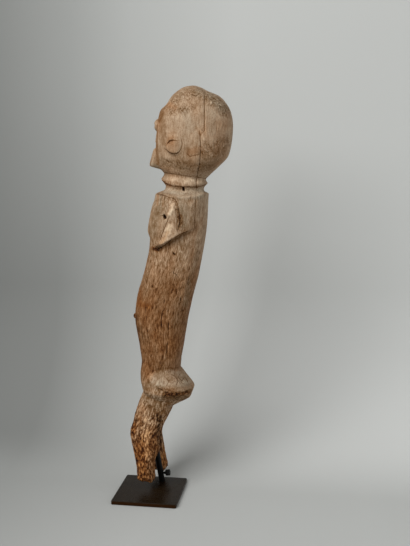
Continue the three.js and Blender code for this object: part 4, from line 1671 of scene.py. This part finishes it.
@dataclass(frozen=True)
class MetalFinish:
    """Darkened metal with worn patches and fine scuffs, and another colour low on its side."""

    name: str
    colour: Triple
    worn: Triple
    roughness: float
    scale: float
    scuff: float
    shine: float
    relief: float = 0.00005
    worn_share: float = 0.55
    speckle_rough: float = 0.12
    scuff_rough: float = 0.25
    dust_gain: float = 1.5
    dust_lift: float = 12.0
    side: Triple = (10, 10, 10)
    side_top: float = 0.0
    side_blend: float = 0.0004

    def build(self, effects: SharedEffects) -> Material:
        """Makes the material on Object coordinates, with its own colour under the side's top.

        Args:
            effects: The shared node groups.

        Returns:
            The material.
        """
        graph, shader, paint = Graph.material(self.name)
        vector = graph.add("TexCoord", {}).outputs["Object"]
        inputs = {"Vector": vector, "Scale": self.scale}
        mottle = graph.add("Group", inputs, node_tree=effects.mottle).outputs
        inputs["Amount"] = self.scuff
        scuffs = graph.add("Group", inputs, node_tree=effects.scuffs).outputs["Mask"]
        level = graph.add("SeparateXYZ", {0: vector}).outputs["Z"]
        under = graph.remap(level, self.side_top, self.side_top - self.side_blend)
        dust = srgb(*[channel * self.dust_gain + self.dust_lift for channel in self.worn])
        worn = graph.times(mottle["Blotch"], self.worn_share)
        colour = graph.tint("MIX", worn, srgb(*self.colour), srgb(*self.worn))
        colour = graph.tint("MIX", under, colour, srgb(*self.side))
        speckle = graph.times(mottle["Speckle"], self.speckle_rough)
        rough = graph.math("ADD", speckle, self.roughness)
        rubbed = graph.times(scuffs, self.scuff_rough)
        graph.feed(shader, {
            "Base Color": graph.tint("MIX", scuffs, colour, dust),
            "Roughness": graph.math("ADD", rough, rubbed, clamp=True),
            "Specular IOR Level": self.shine,
            "Normal": graph.bump(mottle["Speckle"], self.relief),
        })
        return paint


PLATE_FINISH = MetalFinish(
    "plate_finish", (27, 18, 8), (35, 24, 12), 0.19, 90.0, 0.3, 0.08,
    side=(40, 20, 2), side_top=0.0057,
)
STEEL_FINISH = MetalFinish("black_steel", (6, 6, 6), (10, 10, 10), 0.36, 160.0, 0.15, 0.15)


@dataclass
class Stand:
    """The leaning rod and its thumb screw, which a square plate carries."""

    rod_foot: Triple = (-34.0, 12.4, 6.4)
    crotch: Triple = (-23.2, -3.5, 112.8)
    rod_radius: float = 4.75
    seat_depth: float = 3.6
    bore_depth: float = 14.0
    screw_lift: float = 13.8
    shank_radius: float = 2.0
    knob_radius: float = 5.0
    knob_length: float = 7.0
    knob_off: float = 4.0
    knob_notches: int = 12
    knob_sides: int = 144
    screw_reach: float = 2.6
    thread_turns: int = 7
    thread_depth: float = 0.16
    thread_rings: int = 57
    rod_sides: int = 64
    smooth_deg: float = 38.0
    notch_depth: float = 0.5

    def axis(self) -> tuple[Array, Array, float]:
        """Works out the rod's middle line.

        Returns:
            Its foot, its direction and its length from the foot to the crotch.
        """
        foot, top = np.array(self.rod_foot), np.array(self.crotch)
        reach = float(np.linalg.norm(top - foot))
        return foot, (top - foot) / reach, reach

    @staticmethod
    def turned(
        name: str, start: Array, way: Array, profile: Array, sides: int,
        notches: int = 0, notch_depth: float = 0.0,
    ) -> Object:
        """Turns a profile round an axis: each ring lies at its reach along the axis with its
        radius, less a notch that deepens as a power of a cosine that runs round the rim.

        Args:
            name: The object's name.
            start: Where the axis starts, in millimetres.
            way: The axis's unit direction.
            profile: Reach, radius and share of the notch's depth, one row a ring.
            sides: Points around.
            notches: How many notches run round.
            notch_depth: How deep a notch is.

        Returns:
            The closed object.
        """
        side = np.cross(way, [1.0, 0.0, 0.0])
        side /= np.linalg.norm(side)
        other = np.cross(way, side)
        angle = np.linspace(0, 2 * math.pi, sides, endpoint=False)
        notch = notch_depth * (0.5 + 0.5 * np.cos(notches * angle)) ** 3 if notches else 0 * angle
        radius = profile[:, 1, None] - profile[:, 2, None] * notch[None, :]
        round_it = np.cos(angle)[:, None] * side + np.sin(angle)[:, None] * other
        grid = start + profile[:, 0, None, None] * way + radius[..., None] * round_it
        return MeshWork.tube(name, grid)

    def rod(self) -> Object:
        """The rod, with a small chamfer at each end.

        Returns:
            The closed rod.
        """
        foot, way, reach = self.axis()
        r, low, high = self.rod_radius, -self.seat_depth, reach + self.bore_depth
        profile = np.array([
            [low, r - 0.5, 0], [low + 0.5, r, 0], [0.0, r, 0], [reach * 0.5, r, 0],
            [reach, r, 0], [high - 0.7, r, 0], [high, r - 0.7, 0],
        ])
        return self.turned("rod", foot, way, profile, self.rod_sides)

    def screw(self) -> Object:
        """The thumb screw, square to the rod: a threaded shank and a round knob with a notched
        rim and a dished face. The thread is a cosine ripple of the shank's radius.

        Returns:
            The closed screw.
        """
        foot, way, _ = self.axis()
        start = foot + way * (self.screw_lift / way[2])
        back = np.array([0.0, 1.0, 0.0]) - way[1] * way
        back /= np.linalg.norm(back)
        near = self.rod_radius + self.knob_off
        far = near + self.knob_length
        r, s = self.knob_radius, self.shank_radius
        reach = np.linspace(self.rod_radius - self.screw_reach, near - 0.9, self.thread_rings)
        turn = 2 * math.pi * self.thread_turns * np.linspace(0, 1, self.thread_rings)
        thread = s - self.thread_depth + self.thread_depth * np.cos(turn)
        shank = np.stack([reach, thread, 0 * reach], axis=1)
        knob = np.array([
            [near - 0.8, s + 0.9, 0], [near, s + 1.0, 0], [near, r - 0.8, 0.3],
            [near + 0.25, r - 0.2, 0.8], [near + 0.7, r, 1], [far - 0.8, r, 1],
            [far - 0.25, r - 0.25, 0.8], [far, r - 0.9, 0.3], [far, r - 1.7, 0],
            [far - 0.5, r - 2.3, 0], [far - 0.6, 0.6, 0],
        ])
        profile = np.concatenate([shank, knob])
        notches = (self.knob_notches, self.notch_depth)
        return self.turned("thumb_screw", start, back, profile, self.knob_sides, *notches)

    def build(self, effects: SharedEffects) -> list[Object]:
        """Makes the rod and the screw, and dresses them and the plate.

        Args:
            effects: The shared node groups.

        Returns:
            The two new pieces.
        """
        steel = STEEL_FINISH.build(effects)
        pieces = [self.rod(), self.screw()]
        for piece, node in zip(pieces, ("post", "clamp_screw")):
            piece.data.shade_smooth()
            piece.data.set_sharp_from_angle(angle=math.radians(self.smooth_deg))
            piece.data.materials.append(steel)
            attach(piece, "root")
            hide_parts(node)
        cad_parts["base_plate"].material_slots[0].material = PLATE_FINISH.build(effects)
        return pieces


@dataclass
class Studio:
    """The pale floor with its sweep, and the soft lights.

    The paper's tones are display greys by Object Y that paint the fall of the light over it,
    darker to the left: one row high up, one low down and one for the floor. The upright rows
    blend by height, and change over to the floor's between two places along X. A light is its
    name, place, side and power in watts.
    """

    lights: tuple[tuple[str, Triple, float, float], ...] = (
        ("key_light", (1.56, -0.95, 1.57), 1.5, 50.0),
        ("fill_light", (0.9, 1.9, 1.1), 1.6, 6.0),
    )
    aim: Triple = (0.0, 0.03, 0.33)
    room: float = 0.36
    turn_at: float = 0.025
    turn_radius: float = 0.29
    turn_steps: int = 48
    front: float = 3.0
    half_width: float = 4.0
    wall_top: float = 2.4
    # Painted light falloff: these greys darken the paper towards the left, where the light falls
    # off.
    high_painted_falloff: tuple[Pair, ...] = (
        (-0.44, 109.0), (-0.22, 144.0), (-0.1, 165.0), (0.1, 183.0), (0.44, 189.0),
    )
    low_painted_falloff: tuple[Pair, ...] = (
        (-0.44, 111.0), (-0.26, 121.0), (-0.12, 154.0), (0.1, 185.0), (0.44, 197.0),
    )
    floor_painted_falloff: tuple[Pair, ...] = (
        (-0.26, 148.0), (-0.12, 163.0), (0.01, 176.0), (0.34, 184.0),
    )
    heights: Pair = (0.05, 0.75)
    change_over: Pair = (-0.17, -0.02)
    roughness: float = 0.9

    def build(self) -> None:
        """Makes the sweep, the lights and the even light of the room."""
        self._sweep()
        for name, place, size, power in self.lights:
            self._light(name, place, size, power)
        world = bpy.data.worlds.new("room_light")
        world.use_nodes = True
        shade = world.node_tree.nodes["Background"]
        shade.inputs["Color"].default_value = (1.0, 1.0, 1.0, 1.0)
        shade.inputs["Strength"].default_value = self.room
        bpy.context.scene.world = world
        bpy.context.scene.view_settings.view_transform = "Standard"

    def _sweep(self) -> None:
        """A floor that bends up into a wall along a quarter circle behind the object."""
        turn, radius = self.turn_at, self.turn_radius
        angle = np.linspace(0, math.pi / 2, self.turn_steps)
        bend = np.stack([-turn - radius * np.sin(angle), radius * (1 - np.cos(angle))], axis=1)
        profile = np.concatenate([[[self.front, 0.0]], bend, [[-turn - radius, self.wall_top]]])
        grid = np.zeros((len(profile), 2, 3))
        grid[..., 0] = profile[:, None, 0]
        grid[..., 1] = np.array([-self.half_width, self.half_width])
        grid[..., 2] = profile[:, None, 1]
        faces = [[2 * i, 2 * i + 1, 2 * i + 3, 2 * i + 2] for i in range(len(profile) - 1)]
        sweep = MeshWork.make("studio_sweep", grid.reshape(-1, 3) / MM, faces)
        sweep.data.shade_smooth()
        sweep.data.materials.append(self._paper())

    def _paper(self) -> Material:
        """Pale paper with painted light falloff: its tone follows its place along Y, apart for the
        wall and the floor.

        Returns:
            The paper.
        """
        graph, shader, paint = Graph.material("studio_paper_painted_falloff")
        place = graph.add("TexCoord", {}).outputs["Object"]
        place = graph.add("SeparateXYZ", {0: place}).outputs
        rows = (self.low_painted_falloff, self.high_painted_falloff, self.floor_painted_falloff)
        low, high, floor = (self._greys(graph, place["Y"], tones) for tones in rows)
        wall = graph.tint("MIX", graph.remap(place["Z"], *self.heights), low, high)
        colour = graph.tint("MIX", graph.remap(place["X"], *self.change_over), wall, floor)
        graph.feed(shader, {"Base Color": colour, "Roughness": self.roughness})
        return paint

    @staticmethod
    def _greys(graph: Graph, place: Socket, tones: Sequence[Pair]) -> Socket:
        """Greys with a faint cast that follow a place, painting the fall of the light.

        Args:
            graph: The paper's graph.
            place: The place's socket.
            tones: Places and display greys, in rising order.

        Returns:
            The colour's socket.
        """
        low, high = tones[0][0], tones[-1][0]
        share = graph.add("MapRange", {"Value": place, "From Min": low, "From Max": high})
        stops = [((y - low) / (high - low), (v, v + 1.5, v - 1.0)) for y, v in tones]
        return graph.ramp(share.outputs["Result"], stops)

    def _light(self, name: str, place: Triple, size: float, power: float) -> None:
        """A square soft light that looks at the middle of the figure.

        Args:
            name: The light's name.
            place: Its place in metres.
            size: Its side in metres.
            power: Its power in watts.
        """
        data = bpy.data.lights.new(name, "AREA")
        data.shape = "SQUARE"
        data.size = size
        data.energy = power
        lamp = MeshWork.place(name, data)
        lamp.location = place
        way = Vector(self.aim) - Vector(place)
        lamp.rotation_euler = way.to_track_quat("-Z", "Y").to_euler()


def main() -> None:
    """Builds the camera, the figure, its stand and the studio, and reports each piece."""
    logging.basicConfig(level=logging.INFO, format="%(name)s: %(message)s")
    view = Viewpoint()
    view.build()
    effects = SharedEffects()
    stand = Stand()
    carving = Carving()
    body = carving.build()
    carving.cut_details(body, stand.axis(), stand.rod_radius, stand.bore_depth)
    WeatheringAndPaintedLight(view, carving).apply(body)
    body.data.shade_smooth()
    body.data.materials.clear()
    body.data.materials.append(WoodFinish().build(effects))
    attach(body, "root")
    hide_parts("figure")
    for piece in (body, *stand.build(effects)):
        piece.data.calc_loop_triangles()
        LOG.info("%s: %d triangles", piece.name, len(piece.data.loop_triangles))
    Studio().build()
    LOG.info("sizes written")


if __name__ == "__main__":
    main()
